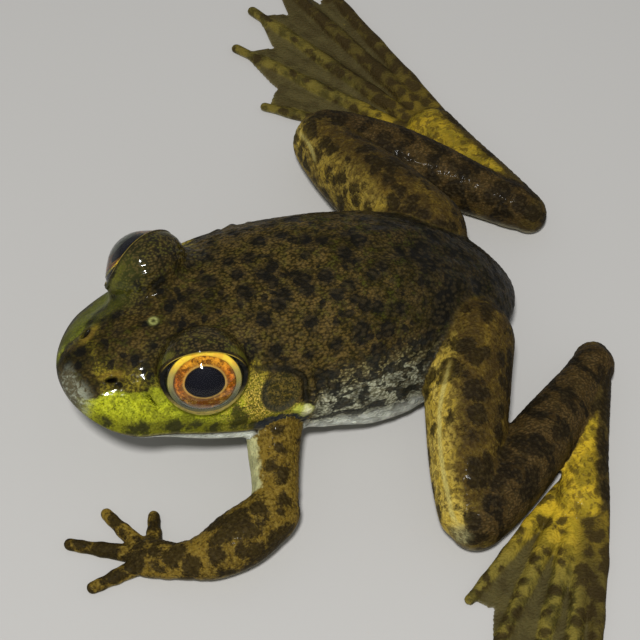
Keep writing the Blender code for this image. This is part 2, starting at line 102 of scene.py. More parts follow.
# %% Curve helpers
def eased(table, x, column=1):
    """A table's column at x, on a smooth curve that never overshoots its stations."""
    rows = np.array(table, float)
    marks, values = rows[:, 0], rows[:, column]
    run = np.diff(values) / np.diff(marks)
    slope = np.empty(len(values))
    slope[0], slope[-1] = run[0], run[-1]
    product, total = run[:-1] * run[1:], run[:-1] + run[1:]
    slope[1:-1] = np.where(product > 0, 2 * product / np.where(product > 0, total, 1.0), 0.0)
    k = np.clip(np.searchsorted(marks, x, side="right") - 1, 0, len(marks) - 2)
    width = marks[k + 1] - marks[k]
    t = np.clip((x - marks[k]) / width, 0.0, 1.0)
    return (
        values[k] * (2 * t**3 - 3 * t**2 + 1)
        + slope[k] * width * (t**3 - 2 * t**2 + t)
        + values[k + 1] * (3 * t**2 - 2 * t**3)
        + slope[k + 1] * width * (t**3 - t**2)
    )


print("the back at 12.5 mm is", round(float(eased(BODY, 12.5, 2)), 2), "mm high")


# %% Soft steps and swellings
def rounding(distance, reach):
    """0 at a rounded end, rising to 1 on a quarter ellipse of this reach."""
    t = np.clip(distance / reach, 0.0, 1.0)
    return np.sqrt(1 - (1 - t) ** 2)


def smooth(low, high, x):
    """0 below the low mark and 1 above the high one, with a soft step between."""
    t = np.clip((x - low) / (high - low), 0.0, 1.0)
    return t * t * (3 - 2 * t)


def swell(distance, reach):
    """1 in the middle of a soft round mound, 0 from its edge on."""
    return np.clip(1 - (distance / reach) ** 2, 0.0, 1.0) ** 2


def power(value, exponent):
    return np.copysign(np.abs(value) ** exponent, value)


def unit(vector):
    return vector / np.linalg.norm(vector, axis=-1, keepdims=True)


print("halfway up a soft step:", smooth(0.0, 1.0, 0.5))


# %% [markdown]
# The head is turned to its left, and the neck bends smoothly. Every feature of the head is
# easier to place on a straight head, so one function carries straight points round the bend
# and another one finds the way back. A rig would do the same, but would need bones.

# %% The turn of the head
def turn_matrix(angle):
    """Turns about Z, for one angle or an array of them."""
    c, s = np.cos(angle), np.sin(angle)
    o, i = np.zeros_like(c), np.ones_like(c)
    return np.stack([np.stack([c, -s, o], -1), np.stack([s, c, o], -1), np.stack([o, o, i], -1)], -2)


def turn_angle(y):
    return HEAD_TURN * smooth(0.0, 1.0, (5.0 - y) / 20.0)


def lean(y):
    """The snout's tip leans a little further to the frog's left than the turn carries it."""
    shift = SNOUT_LEAN * smooth(0.0, 1.0, (-24.0 - y) / 9.0)
    return np.stack([shift, 0 * shift, 0 * shift], -1)


def turned(points):
    """Straight head points carried round the neck's smooth bend."""
    pivot = np.array((0.0, TURN_PIVOT_Y, 0.0))
    turn = turn_matrix(turn_angle(points[..., 1]))
    return pivot + np.einsum("...ij,...j->...i", turn, points + lean(points[..., 1]) - pivot)


def straightened(points):
    """The way back: x, distance behind the snout, and height, as if the head looked ahead."""
    pivot = np.array((0.0, TURN_PIVOT_Y, 0.0))
    straight = points.copy()
    for _ in range(6):
        turn = turn_matrix(-turn_angle(straight[..., 1]))
        straight = pivot + np.einsum("...ij,...j->...i", turn, points - pivot) - lean(straight[..., 1])
    straight[..., 1] -= SNOUT_Y
    return straight


def head_point(x, back, z):
    return turned(np.array((x, SNOUT_Y + back, z), float))


def head_direction(side, out, up):
    way = (side * math.sin(out) * math.cos(up), -math.cos(out) * math.cos(up), math.sin(up))
    return turn_matrix(np.array(HEAD_TURN)) @ np.array(way)


check = np.array([[6.0, -30.0, 12.0], [-4.0, -12.0, 18.0]])
print("bend undone to within", np.abs(straightened(turned(check)) + [0, SNOUT_Y, 0] - check).max(), "mm")

# %% [markdown]
# ## The raw flesh
# The body is a loft: rings of points, each a pinched ellipse, joined into one tube. Legs and
# arms are lofts along their bones. They simply run into each other, as clay lumps would,
# because a voxel remesh will melt them into one skin. Each raw point also notes which part
# and which side it belongs to, for the folds and markings later.

# %% A store for raw lofts
PART_NAMES = ("body", "lid", "thigh", "shank", "ankle", "toe", "web", "upper", "fore", "palm", "finger")
PART = {name: number for number, name in enumerate(PART_NAMES)}
raw = {"points": [], "faces": [], "part": [], "side": [], "count": 0}


def add_rings(rings, part, side):
    """Adds a tube of equal rings, its two ends closed by fans."""
    rows, count = rings.shape[:2]
    first = raw["count"]
    ends = [rings[0].mean(0), rings[-1].mean(0)]
    raw["points"] += [rings.reshape(-1, 3), np.array(ends)]
    raw["part"].append(np.full(rows * count + 2, PART[part]))
    raw["side"].append(np.full(rows * count + 2, side))
    raw["count"] += rows * count + 2
    for k in range(rows - 1):
        for j in range(count):
            a, b = first + k * count + j, first + k * count + (j + 1) % count
            raw["faces"].append((a, b, b + count, a + count))
    start, end = first + rows * count, first + (rows - 1) * count
    for j in range(count):
        n = (j + 1) % count
        raw["faces"].append((first + n, first + j, start))
        raw["faces"].append((end + j, end + n, start + 1))


print("kinds of part:", len(PART))


# %% The body
def body_surface(back, angle):
    """Straight body points for arrays of distance behind the snout and angle round the section."""
    half, top, widest, low, pinch_up, pinch_down = (eased(BODY, back, k) for k in range(1, 7))
    rump = rounding(BODY_END - back, 5.0)
    half = half * rounding(back, 7.0) * rump
    core = NOSE_Z + (widest - NOSE_Z) * rounding(back, 5.0)
    top = core + (top - core) * rounding(back, 3.5) * rump
    low = core + (low - core) * rounding(back, 3.0) * rump
    across, up = np.cos(angle), np.sin(angle)
    pinch = np.where(up > 0, pinch_up, pinch_down)
    x = half * power(across, pinch)
    z = core + np.where(up > 0, top - core, core - low) * power(up, pinch)
    return np.stack([x, SNOUT_Y + back, np.maximum(z, 0.0)], -1)


def spread(count):
    """Shares from 0 to 1 that crowd towards both ends."""
    return 0.5 - 0.5 * np.cos(np.pi * (np.arange(count) + 0.3) / (count - 0.4))


places = BODY_END * spread(190)
angles = -math.tau * np.arange(132) / 132
body_rings = turned(body_surface(*np.broadcast_arrays(places[:, None], angles[None, :])))
add_rings(body_rings, "body", 0)
print("body rings:", body_rings.shape)

# %% [markdown]
# A limb is a loft whose rings stand square to its bone. `shape` lets a segment add its own
# muscle: a calf that swells on the back of the shank, or the knuckles of a toe.

# %% Limbs
def limb_rings(stations, count, steps, shape=None):
    """Rings along stations of (x, y, z, half width, half height)."""
    rows = np.array(stations, float)
    marks = np.concatenate([[0.0], np.cumsum(np.linalg.norm(np.diff(rows[:, :3], axis=0), axis=1))])
    table = np.column_stack([marks, rows])
    total = marks[-1]
    place = total * spread(steps)
    centre = np.stack([eased(table, place, c) for c in (1, 2, 3)], -1)
    along = unit(np.gradient(centre, place, axis=0))
    across = unit(np.cross((0.0, 0.0, 1.0), along))
    upward = np.cross(along, across)
    wide, tall = eased(table, place, 4), eased(table, place, 5)
    ends = rounding(place, wide) * rounding(total - place, wide)
    angle = math.tau * np.arange(count)[None, :] / count
    bulk = shape((place / total)[:, None], angle) if shape else 1.0
    side = (wide * ends)[:, None] * np.cos(angle) * bulk
    up = (tall * ends)[:, None] * np.sin(angle) * bulk
    rings = centre[:, None] + across[:, None] * side[..., None] + upward[:, None] * up[..., None]
    rings[..., 2] = np.maximum(rings[..., 2], 0.0)
    return rings


def mirrored(stations):
    return [(-station[0], *station[1:]) for station in stations]


def add_limb(stations, part, side, count=56, steps=70, shape=None):
    add_rings(limb_rings(stations, count, steps, shape), part, side)


print("rings in a limb of 70 steps:", limb_rings(((0, 0, 0, 1, 1), (0, 9, 0, 1, 1)), 56, 70).shape)

# %% [markdown]
# The hind legs lie folded: the thigh runs out and ahead, the shank comes back beside it and
# the long ankle goes out again to the foot. The left leg's stations serve for both sides: the
# right leg mirrors them, with small shifts at its knee and heel.

# %% Hind leg stations
# Each station: x, y, z, half width, half height.
THIGH = (
    (4.0, 20.0, 9.6, 4.6, 5.4),
    (9.4, 17.2, 9.4, 5.4, 6.3),
    (14.9, 14.7, 8.8, 5.4, 6.3),
    (20.4, 12.6, 7.6, 5.0, 5.7),
    (26.0, 10.6, 6.2, 4.3, 4.9),
    (30.0, 9.5, 5.2, 3.7, 4.2),
    (33.6, 8.8, 4.6, 3.2, 3.8),
)
SHANK = (
    (33.6, 7.6, 4.4, 3.3, 3.9),
    (31.2, 10.2, 4.6, 3.7, 4.3),
    (29.0, 13.4, 4.8, 4.1, 4.6),
    (25.4, 18.2, 4.8, 4.3, 4.7),
    (21.7, 22.8, 4.5, 4.0, 4.4),
    (17.9, 27.4, 4.0, 3.4, 3.9),
    (14.7, 31.2, 3.5, 2.9, 3.4),
    (11.4, 35.2, 3.3, 2.8, 3.2),
)
ANKLE = (
    (9.6, 34.4, 2.9, 2.4, 2.8),
    (13.2, 33.0, 2.8, 2.5, 2.8),
    (19.0, 30.6, 2.7, 2.4, 2.6),
    (25.0, 27.7, 2.4, 2.7, 2.3),
    (30.2, 25.2, 2.0, 3.3, 2.0),
    (33.0, 24.0, 1.8, 3.5, 1.7),
)
HEEL = (12.6, 33.4)
FOOT_ROOT = (28.8, 26.0, 0.0)
ANKLE_WAY = (0.925, -0.38, 0.0)
# The right leg stands a little further open, and its knee and heel lie a little elsewhere.
ANKLE_SWING = {"left": 0.0, "right": 4.0}
KNEE_SHIFT = {"left": (0.0, 0.0, 0.0), "right": (-1.1, 1.1, 0.0)}
HEEL_SHIFT = {"left": (0.0, 0.0, 0.0), "right": (-1.3, -0.3, 0.0)}
ANKLE_BACK = {"left": 0.0, "right": 1.2}
print("hind leg stations:", len(THIGH) + len(SHANK) + len(ANKLE))


# %% Fold the hind legs
def swing(side, word, way):
    return turn_matrix(np.array(math.radians(ANKLE_SWING[word]) * side)) @ np.array(way, float)


def swung(side, word, point):
    """A point of the ankle or foot, opened about the heel by this leg's own angle."""
    heel = np.array((side * HEEL[0], HEEL[1], 0.0))
    offset = np.array((0.0, ANKLE_BACK[word], 0.0)) + HEEL_SHIFT[word]
    return heel + offset + swing(side, word, np.array(point[:3]) - heel)


def shifted(stations, first, last):
    """The stations moved by the first shift at one end and the last one at the other."""
    moved = []
    for k, station in enumerate(stations):
        share = k / (len(stations) - 1)
        shift = np.array(first) * (1 - share) + np.array(last) * share
        moved.append((*(np.array(station[:3]) + shift), *station[3:]))
    return moved


for word, side in SIDES:
    flip = mirrored if side < 0 else list
    add_limb(shifted(flip(THIGH), (0, 0, 0), KNEE_SHIFT[word]), "thigh", side)
    add_limb(shifted(flip(SHANK), KNEE_SHIFT[word], HEEL_SHIFT[word]), "shank", side)
    ankle = [(*swung(side, word, station), *station[3:]) for station in flip(ANKLE)]
    add_limb(ankle, "ankle", side, count=48)
print("raw points:", raw["count"])

# %% [markdown]
# Each foot has five toes, fanned from the end of the ankle. A toe is a tapering tube with
# swollen joints, lying on the floor, and a thin pleated web fills the gaps between them.
# The web is a real sheet half a millimetre thick, so that it survives the remesh.

# %% Toes
# Inner to outer: degrees from straight out to the side towards the front, length, half width.
TOES = {
    "left": ((55, 22.0, 1.15), (43, 28.5, 1.2), (34, 33.5, 1.25), (28, 39.5, 1.3), (24, 32.0, 1.3)),
    "right": ((54, 25.0, 1.15), (40, 34.0, 1.2), (30, 37.0, 1.25), (21, 41.5, 1.3), (15, 34.0, 1.3)),
}
TOE_JOINTS = (0.36, 0.6, 0.82)


def toe_lines(side, word):
    """Start, direction, length and half width of each toe of one foot."""
    root = swung(side, word, np.array(FOOT_ROOT) * (side, 1, 1))
    way = swing(side, word, np.array(ANKLE_WAY) * (side, 1, 1))
    across = np.array((-way[1], way[0], 0.0)) * side
    lines = []
    for toe, (degrees, length, half) in enumerate(TOES[word]):
        angle = math.radians(degrees)
        out = np.array((side * math.cos(angle), -math.sin(angle), 0.0))
        lines.append((root - way + across * (toe - 2) * 1.15, out, length, half))
    return lines


def knuckles(share, angle):
    """A toe swells at its joints and at its tip."""
    bulk = 1.0 + 0.0 * angle
    for joint in TOE_JOINTS:
        bulk = bulk + 0.13 * swell(share - joint, 0.07)
    return bulk + 0.12 * swell(share - 0.97, 0.06)


def add_toe(start, way, length, half, side):
    stations = []
    for share in (0.0, 0.12, 0.3, 0.6, 0.85, 1.0):
        wide = min(half * (1.0 - 0.5 * share), 0.75 + 0.07 * length * share)
        tall = 0.85 * half * (1.0 - 0.5 * share)
        x, y, _ = start + way * length * share
        stations.append((x, y, tall * 0.97, wide * 1.04, tall))
    add_limb(stations, "toe", side, count=26, steps=90, shape=knuckles)


feet = {word: toe_lines(side, word) for word, side in SIDES}
for word, side in SIDES:
    for line in feet[word]:
        add_toe(*line, side)
print("toes:", sum(len(lines) for lines in feet.values()))

# %% Webs
WEB_THICK = 0.55
WEB_DIP = 0.2


def web_between(first, second, side, rows=80, columns=26):
    """A closed thin sheet that spans two toes and dips between their tips."""
    along = np.linspace(0.06, 0.97, rows)[:, None]
    share = np.linspace(0.0, 1.0, columns)[None, :]
    line_a, line_b = (
        start + way * (length * along[..., None] * 0.98) for start, way, length, _ in (first, second)
    )
    flat = line_a * (1 - share[..., None]) + line_b * share[..., None]
    root = (first[0] + second[0]) / 2
    pull = 1.0 - WEB_DIP * np.sin(np.pi * share) * along**2
    flat = root + (flat - root) * pull[..., None]
    pleat = 0.5 + 0.5 * np.cos(share * math.tau * 3.0 + along * 2.0)
    flesh = 2.2 * np.clip(1.0 - along * first[2] / 9.0, 0.0, 1.0)
    top = np.maximum(WEB_THICK - 0.12 + 0.26 * pleat * smooth(0.1, 0.4, along), flesh)
    upper, lower = flat.copy(), flat.copy()
    upper[..., 2], lower[..., 2] = top, 0.0
    rings = np.concatenate([upper, lower[:, ::-1]], axis=1)
    if side > 0:
        rings = rings[:, ::-1]
    add_rings(rings, "web", side)


for word, side in SIDES:
    for first, second in zip(feet[word], feet[word][1:]):
        web_between(first, second, side)
print("raw points with hind legs:", raw["count"])

# %% [markdown]
# The left arm reaches out and ahead. The right one is tucked in beside the chest. Each hand
# has four free fingers, without webs.

# %% Arm stations
ARMS = {
    "left": {
        "upper": (
            (5.0, -7.0, 9.2, 3.6, 4.2),
            (10.5, -9.2, 8.4, 3.6, 3.9),
            (15.0, -10.8, 7.2, 3.3, 3.5),
            (19.5, -12.0, 6.0, 2.9, 3.2),
            (24.4, -13.4, 5.0, 2.8, 3.0),
        ),
        "fore": (
            (22.2, -10.2, 5.2, 2.6, 2.9),
            (23.4, -13.6, 5.0, 3.3, 3.5),
            (25.0, -18.0, 4.3, 3.7, 3.7),
            (25.7, -22.0, 3.3, 3.1, 3.0),
            (25.0, -25.4, 2.5, 2.3, 2.2),
            (23.6, -28.0, 2.0, 2.2, 1.9),
        ),
        "palm": (
            (25.6, -24.4, 2.3, 2.0, 2.0),
            (24.2, -27.0, 2.0, 2.4, 1.9),
            (22.7, -29.4, 1.6, 2.7, 1.6),
            (21.6, -31.2, 1.2, 2.3, 1.2),
        ),
        "roots": ((22.0, -28.2), (21.2, -29.4), (21.8, -30.2), (23.2, -30.0)),
        "tips": ((16.2, -26.6), (14.2, -32.6), (17.4, -38.4), (24.6, -37.4)),
    },
    "right": {
        "upper": (
            (-3.0, -6.6, 8.4, 3.2, 3.6),
            (-6.0, -6.0, 7.4, 3.2, 3.4),
            (-9.4, -4.8, 5.8, 2.9, 3.1),
            (-12.6, -3.2, 4.4, 2.8, 2.9),
            (-15.0, -2.0, 3.8, 2.7, 2.8),
        ),
        "fore": (
            (-13.8, 0.2, 3.9, 2.5, 2.7),
            (-14.2, -3.2, 3.9, 3.1, 3.2),
            (-14.4, -7.8, 3.7, 3.4, 3.4),
            (-13.9, -12.0, 3.0, 2.9, 2.8),
            (-13.0, -15.4, 2.5, 2.2, 2.1),
            (-12.0, -18.0, 2.0, 2.1, 1.8),
        ),
        "palm": (
            (-13.6, -14.4, 2.3, 2.0, 2.0),
            (-12.5, -17.0, 2.0, 2.4, 1.9),
            (-11.4, -19.6, 1.6, 2.7, 1.6),
            (-10.6, -21.4, 1.2, 2.3, 1.2),
        ),
        "roots": ((-10.7, -18.4), (-10.0, -19.8), (-10.9, -20.6), (-12.2, -20.2)),
        "tips": ((-4.8, -18.0), (-3.6, -24.0), (-8.2, -29.0), (-14.8, -27.2)),
    },
}
print("arm stations:", sum(len(arm[part]) for arm in ARMS.values() for part in ("upper", "fore", "palm")))


# %% Arms and fingers
def finger_joints(share, angle):
    return 1.0 + 0.12 * swell(share - 0.5, 0.1) + 0.1 * swell(share - 0.76, 0.08) + 0.0 * angle


def add_finger(root, tip, side):
    stations = []
    for share, half in ((0.0, 1.25), (0.4, 0.98), (0.75, 0.78), (0.93, 0.78), (1.0, 0.72)):
        x, y = (a + (b - a) * share for a, b in zip(root, tip))
        stations.append((x, y, half * 0.9, half, half))
    add_limb(stations, "finger", side, count=24, steps=50, shape=finger_joints)


for word, side in SIDES:
    measures = ARMS[word]
    for part, count, steps in (("upper", 44, 70), ("fore", 44, 70), ("palm", 36, 40)):
        add_limb(measures[part], part, side, count, steps)
    for root, tip in zip(measures["roots"], measures["tips"]):
        add_finger(root, tip, side)
print("raw points:", raw["count"])

# %% [markdown]
# The eyes stand up from the head, each under a dome of skin. A ball a little larger than
# the eyeball gives the remesh that dome; its lids are opened later.

# %% Domes over the eyes
DOME = EYE_RADIUS + 0.5


def ball_rings(centre, radius, count=72, steps=48):
    tilt = np.pi * (np.arange(steps) + 0.5)[:, None] / steps
    angle = math.tau * np.arange(count)[None, :] / count
    way = [np.sin(tilt) * np.cos(angle), np.sin(tilt) * np.sin(angle), -np.cos(tilt) + 0 * angle]
    return centre + radius * np.stack(way, -1)


eyes = {}
for word, side in SIDES:
    axis = head_direction(side, EYE_OUT, EYE_UP)
    up = unit(np.array((0.0, 0.0, 1.0)) - axis * axis[2])
    centre = head_point(side * EYE_X, EYE_BACK, EYE_Z)
    eyes[word] = {"centre": centre, "axis": axis, "up": up, "across": np.cross(up, axis)}
    add_rings(ball_rings(centre, DOME), "lid", side)
print("raw points in all:", raw["count"])

# %% [markdown]
# ## Melting the lumps into one skin
# Blender's Remesh modifier in voxel mode wraps every overlapping lump in one sheet of small
# quads, so no seam is left anywhere. A Boolean union would keep long thin triangles that
# can't be sculpted; a quarter-millimetre grid takes any fold.

# %% Voxel remesh
VOXEL = 0.24

lump = bpy.data.meshes.new("flesh")
lump.from_pydata(np.concatenate(raw["points"]).tolist(), [], raw["faces"])
lump_object = bpy.data.objects.new("flesh", lump)
bpy.context.scene.collection.objects.link(lump_object)
wrap = lump_object.modifiers.new("wrap", "REMESH")
wrap.mode = "VOXEL"
wrap.voxel_size = VOXEL
wrap.use_smooth_shade = True
graph = bpy.context.evaluated_depsgraph_get()
skin_mesh = bpy.data.meshes.new_from_object(lump_object.evaluated_get(graph))
bpy.data.objects.remove(lump_object)
print("skin quads:", len(skin_mesh.polygons))

# %% [markdown]
# From here the skin is treated like clay: one array of points that whole-surface rules push
# about. `relax` evens it out. `fill_creases` only ever moves points outward, and only where
# their neighbours lie further out, so it rounds off the notch where a leg meets the body
# and leaves every ridge alone.

# %% Clay
class Clay:
    """A mesh whose points are kept in one array."""

    def __init__(self, mesh):
        self.mesh = mesh
        self.points = self.read("vertices", "co", 3, np.float32).astype(float)
        self.edges = self.read("edges", "vertices", 2, np.int32)
        self.degree = np.bincount(self.edges.ravel(), minlength=len(self.points)).astype(float)

    def read(self, layer, name, width, kind):
        items = getattr(self.mesh, layer)
        flat = np.empty(len(items) * width, kind)
        items.foreach_get(name, flat)
        return flat.reshape(-1, width)

    def write(self):
        self.mesh.vertices.foreach_set("co", self.points.astype(np.float32).ravel())
        self.mesh.update()

    def normals(self):
        self.write()
        return self.read("vertex_normals", "vector", 3, np.float32).astype(float)

    def average(self, values):
        """The mean of each point's neighbours."""
        a, b = self.edges.T
        size = len(values)
        columns = [np.bincount(a, column[b], size) + np.bincount(b, column[a], size) for column in values.T]
        return np.stack(columns, -1) / np.maximum(self.degree, 1.0)[:, None]

    def relax(self, rounds, share=1.0):
        """Evens the surface without shrinking it: each round pulls in, then lets out."""
        for _ in range(rounds):
            for pull in (0.5, -0.52):
                offset = self.average(self.points) - self.points
                self.points += offset * pull * np.reshape(share, (-1, 1))

    def fill_creases(self, rounds, share=1.0):
        for _ in range(rounds):
            offset = self.average(self.points) - self.points
            normals = self.normals()
            lift = np.maximum((offset * normals).sum(1) - 0.002, 0.0)
            self.points += normals * (0.8 * lift * share)[:, None]

    def push(self, amount):
        """Moves each point along the surface's normal."""
        self.points += self.normals() * np.reshape(amount, (-1, 1))


clay = Clay(skin_mesh)
clay.relax(6)
print("clay points:", len(clay.points))

# %% Which part each point belongs to
raw_points = np.concatenate(raw["points"])
raw_tree = kdtree.KDTree(len(raw_points))
for index, point in enumerate(raw_points):
    raw_tree.insert(point, index)
raw_tree.balance()


def nearest_raw(points):
    return np.array([raw_tree.find(point)[1] for point in points])


def inherit(clay):
    """Gives every clay point its part and its side."""
    nearest = nearest_raw(clay.points)
    clay.part = np.concatenate(raw["part"])[nearest]
    clay.side = np.concatenate(raw["side"])[nearest]


def is_part(clay, *names):
    return np.isin(clay.part, [PART[name] for name in names])


inherit(clay)
print("points of the hind feet:", int(is_part(clay, "toe", "web").sum()))

# %% Fill the creases
soft = np.where(is_part(clay, "toe", "web", "finger"), 0.35, 1.0)
clay.fill_creases(42, soft)


def eye_distance(points):
    return np.minimum(*(np.linalg.norm(points - eye["centre"], axis=1) for eye in eyes.values()))


clay.fill_creases(130, smooth(10.0, 7.8, eye_distance(clay.points)) * smooth(17.0, 18.5, clay.points[:, 2]))
clay.relax(3)
clay.points[:, 2] = np.maximum(clay.points[:, 2], 0.0)
clay.write()
print("creases filled")

# %% [markdown]
# ## A finer mesh where it counts
# Lids, nostrils, mouth and eardrum need folds finer than a quarter of a millimetre, so the
# edges there are cut once more, and twice near the lids. The rest of the skin stays as it is.

# %% Halve and settle
def refine(mesh, chosen):
    """Halves every edge whose two ends are chosen."""
    fine = bmesh.new()
    fine.from_mesh(mesh)
    fine.verts.ensure_lookup_table()
    edges = [edge for edge in fine.edges if chosen[edge.verts[0].index] and chosen[edge.verts[1].index]]
    bmesh.ops.subdivide_edges(fine, edges=edges, cuts=1, use_grid_fill=True)
    bmesh.ops.triangulate(fine, faces=[face for face in fine.faces if len(face.verts) > 4])
    for face in fine.faces:
        face.smooth = True
    fine.to_mesh(mesh)
    fine.free()
    return len(edges)


def settle(chosen):
    """Smooths what has just been refined, and nothing else."""
    made = Clay(skin_mesh)
    zone = chosen(made.points).astype(float)
    made.relax(3, zone)
    made.write()
    return made


def mouth_height(back):
    return MOUTH_FRONT_Z + (MOUTH_BACK_Z - MOUTH_FRONT_Z) * back / MOUTH_END


print("the mouth falls", round(mouth_height(0.0) - mouth_height(MOUTH_END), 1), "mm from front to corner")


# %% The zones that need it
def face_zone(points):
    """Points of the face that are refined once."""
    x, back, z = straightened(points).T
    lips = (back < 29.0) & (np.abs(z - mouth_height(back)) < 2.2) & (np.abs(x) < 15.5)
    snout = (back < 8.5) & (z > 12.0)
    ear = (np.abs(back - EAR_BACK) < 5.0) & (np.abs(z - EAR_Z) < 5.0) & (np.abs(x) > 8.0)
    return (eye_distance(points) < 8.6) | lips | snout | ear


def lid_zone(points):
    near = np.zeros(len(points), bool)
    for eye in eyes.values():
        offset = points - eye["centre"]
        distance = np.linalg.norm(offset, axis=1)
        tilt = np.degrees(np.arccos(np.clip(offset @ eye["axis"] / distance, -1, 1)))
        near |= (distance < 6.6) & (tilt > 45.0) & (tilt < 98.0)
    return near


refined = 0
for zone in (face_zone, lid_zone):
    refined += refine(skin_mesh, zone(clay.points))
    clay = settle(zone)
inherit(clay)
print("edges halved:", refined, "clay points now:", len(clay.points))

# %% [markdown]
# ## Lids
# A real lid is a thin rim of skin that slides over the eyeball. Seen from the eyeball's
# centre, the opening is an ellipse of directions, so the lids are shaped there: outside
# the ellipse the skin keeps its height and thins to a rounded rim, and inside it the skin
# drops steeply and passes under the eyeball's flat front. Points are first drawn towards the
# rim, which makes it crisp.

# %% The rim of the opening
RIM_TOP, RIM_BOTTOM, RIM_CORNER = (math.sin(math.radians(a)) for a in (60.5, 60, 78))
LID_RIM = 0.16
LID_DIVE = 0.6
IRIS_HEIGHT = 1.95


def eye_angles(points, eye):
    """Distance from the eyeball's centre, angle from its axis, and the sines across and up."""
    offset = points - eye["centre"]
    distance = np.linalg.norm(offset, axis=1)
    way = offset / distance[:, None]
    along, across, up = way @ eye["axis"], way @ eye["across"], way @ eye["up"]
    tilt = np.arccos(np.clip(along, -1.0, 1.0))
    flat = np.maximum(np.hypot(across, up), 1e-6)
    return distance, tilt, across / flat, up / flat, way


def rim_angle(across, up):
    """Where the lid's rim stands, as an angle from the eye's axis, all round the eye."""
    tall = np.where(up > 0, RIM_TOP, RIM_BOTTOM)
    reach = 1.0 / np.sqrt((across / RIM_CORNER) ** 2 + (up / tall) ** 2)
    return np.arcsin(np.clip(reach, 0.0, 0.9999))


print("the rim stands", round(math.degrees(rim_angle(0.0, 1.0)), 1), "degrees from the axis at the top")


# %% Open the lids
def open_lids(clay, eye):
    distance, tilt, across, up, way = eye_angles(clay.points, eye)
    near = (distance < DOME + 2.5) & (tilt < math.radians(130))
    rim = rim_angle(across, up)
    gap = (tilt - rim) * EYE_RADIUS
    drawn = gap * (1 - 0.72 * np.exp(-((gap / 0.42) ** 2)))
    new_tilt = tilt + (drawn - gap) / EYE_RADIUS
    turn = unit(way - eye["axis"] * np.cos(tilt)[:, None])
    way = eye["axis"] * np.cos(new_tilt)[:, None] + turn * np.sin(new_tilt)[:, None]
    gap = drawn
    corner = np.abs(across) ** 6
    edge = EYE_RADIUS + LID_RIM + 0.25 * corner
    outside = edge + (distance - edge) * smooth(0.0, 1.9, gap) + 0.1 * swell(gap - 0.28, 0.3)
    inner = EYE_RADIUS - LID_DIVE
    rim_side, rim_high = edge * np.sin(rim), edge * np.cos(rim)
    deep_side, deep_high = inner * np.sin(new_tilt), np.minimum(inner * np.cos(new_tilt), IRIS_HEIGHT - 0.45)
    fall = np.clip(-gap / 0.4, 0.0, 1.0)
    side = rim_side + (deep_side - rim_side) * fall**2
    high = rim_high + (deep_high - rim_high) * (1 - (1 - fall) ** 1.4)
    inside = turn * side[:, None] + eye["axis"] * high[:, None]
    moved = eye["centre"] + np.where((gap > 0)[:, None], way * outside[:, None], inside)
    clay.points = np.where(near[:, None], moved, clay.points)
    clay.rim_gap = np.where(near, gap, clay.rim_gap)
    clay.rim_up = np.where(near, up, clay.rim_up)


clay.rim_gap = np.full(len(clay.points), 50.0)
clay.rim_up = np.zeros(len(clay.points))
straight_before = straightened(clay.points)
for eye in eyes.values():
    open_lids(clay, eye)
clay.write()
print("points inside the lids:", int((clay.rim_gap < 0).sum()))

# %% [markdown]
# ## The face
# Each feature is a soft push in or out, measured from a point or along a short path given
# as (x, distance behind the snout, height). The frog is symmetric here, so x is taken
# without its sign and every feature comes out on both sides.

# %% Sculpting helpers
def path_distance(where, path):
    """Each point's distance to a chain of short runs, and its share of the way along it."""
    path = np.array(path, float)
    for _ in range(2 if len(path) > 2 else 0):
        cut = [path[:-1] * (1 - t) + path[1:] * t for t in (0.25, 0.75)]
        path = np.concatenate([path[:1], np.stack(cut, 1).reshape(-1, 3), path[-1:]])
    best = np.full(len(where), 1e9)
    share = np.zeros(len(where))
    runs = [(np.array(a, float), np.array(b, float)) for a, b in zip(path, path[1:])]
    lengths = [np.linalg.norm(b - a) for a, b in runs]
    for k, (a, b) in enumerate(runs):
        t = np.clip((where - a) @ (b - a) / lengths[k] ** 2, 0.0, 1.0)
        distance = np.linalg.norm(where - a - t[:, None] * (b - a), axis=1)
        nearer = distance < best
        share = np.where(nearer, (sum(lengths[:k]) + t * lengths[k]) / sum(lengths), share)
        best = np.minimum(best, distance)
    return best, share


def to_point(where, place):
    return np.linalg.norm(where - np.array(place, float), axis=1)


def ear_place():
    """The middle of the eardrum on the straight head."""
    angle = np.linspace(0.0, 1.5, 200)
    section = body_surface(*np.broadcast_arrays(np.array(EAR_BACK), angle))
    k = np.abs(section[:, 2] - EAR_Z).argmin()
    return section[k, 0], EAR_BACK, EAR_Z


def halves(points):
    """Straight coordinates with x unsigned."""
    where = straightened(points)
    where[:, 0] = np.abs(where[:, 0])
    return where


print("ear on the straight head:", [round(v, 2) for v in ear_place()])

# %% Snout, nostrils and mouth
CANTHUS = ((2.2, 1.6, 17.4), (3.9, 4.6, 18.9), (5.8, 8.0, 19.9), (7.0, 10.4, 20.6))
body_side = is_part(clay, "body", "lid")
where = halves(clay.points)
x, back, z = where.T

ridge, share = path_distance(where, CANTHUS)
clay.push(body_side * 0.3 * swell(ridge, 1.7) * np.sin(np.pi * np.clip(share, 0.08, 0.92)))
clay.push(body_side * -0.45 * swell(to_point(where, (8.2, 8.4, 15.8)), 3.4))
clay.push(body_side * -0.25 * swell(np.hypot(x, back - 13.0), 3.6) * (z > 15.0))

nostril_way = unit(np.array((0.55, 1.0, 0.1)))
offset = where - np.array(NOSTRIL)
slit_along = offset @ nostril_way
slit_across = np.linalg.norm(offset - slit_along[:, None] * nostril_way, axis=1)
slit = np.hypot(slit_along / 0.95, slit_across / 0.5)
clay.push(body_side * 0.3 * swell(slit, 2.4))
clay.push(body_side * -1.15 * smooth(1.15, 0.45, slit))
clay.slit = np.where(body_side, slit, 9.0)

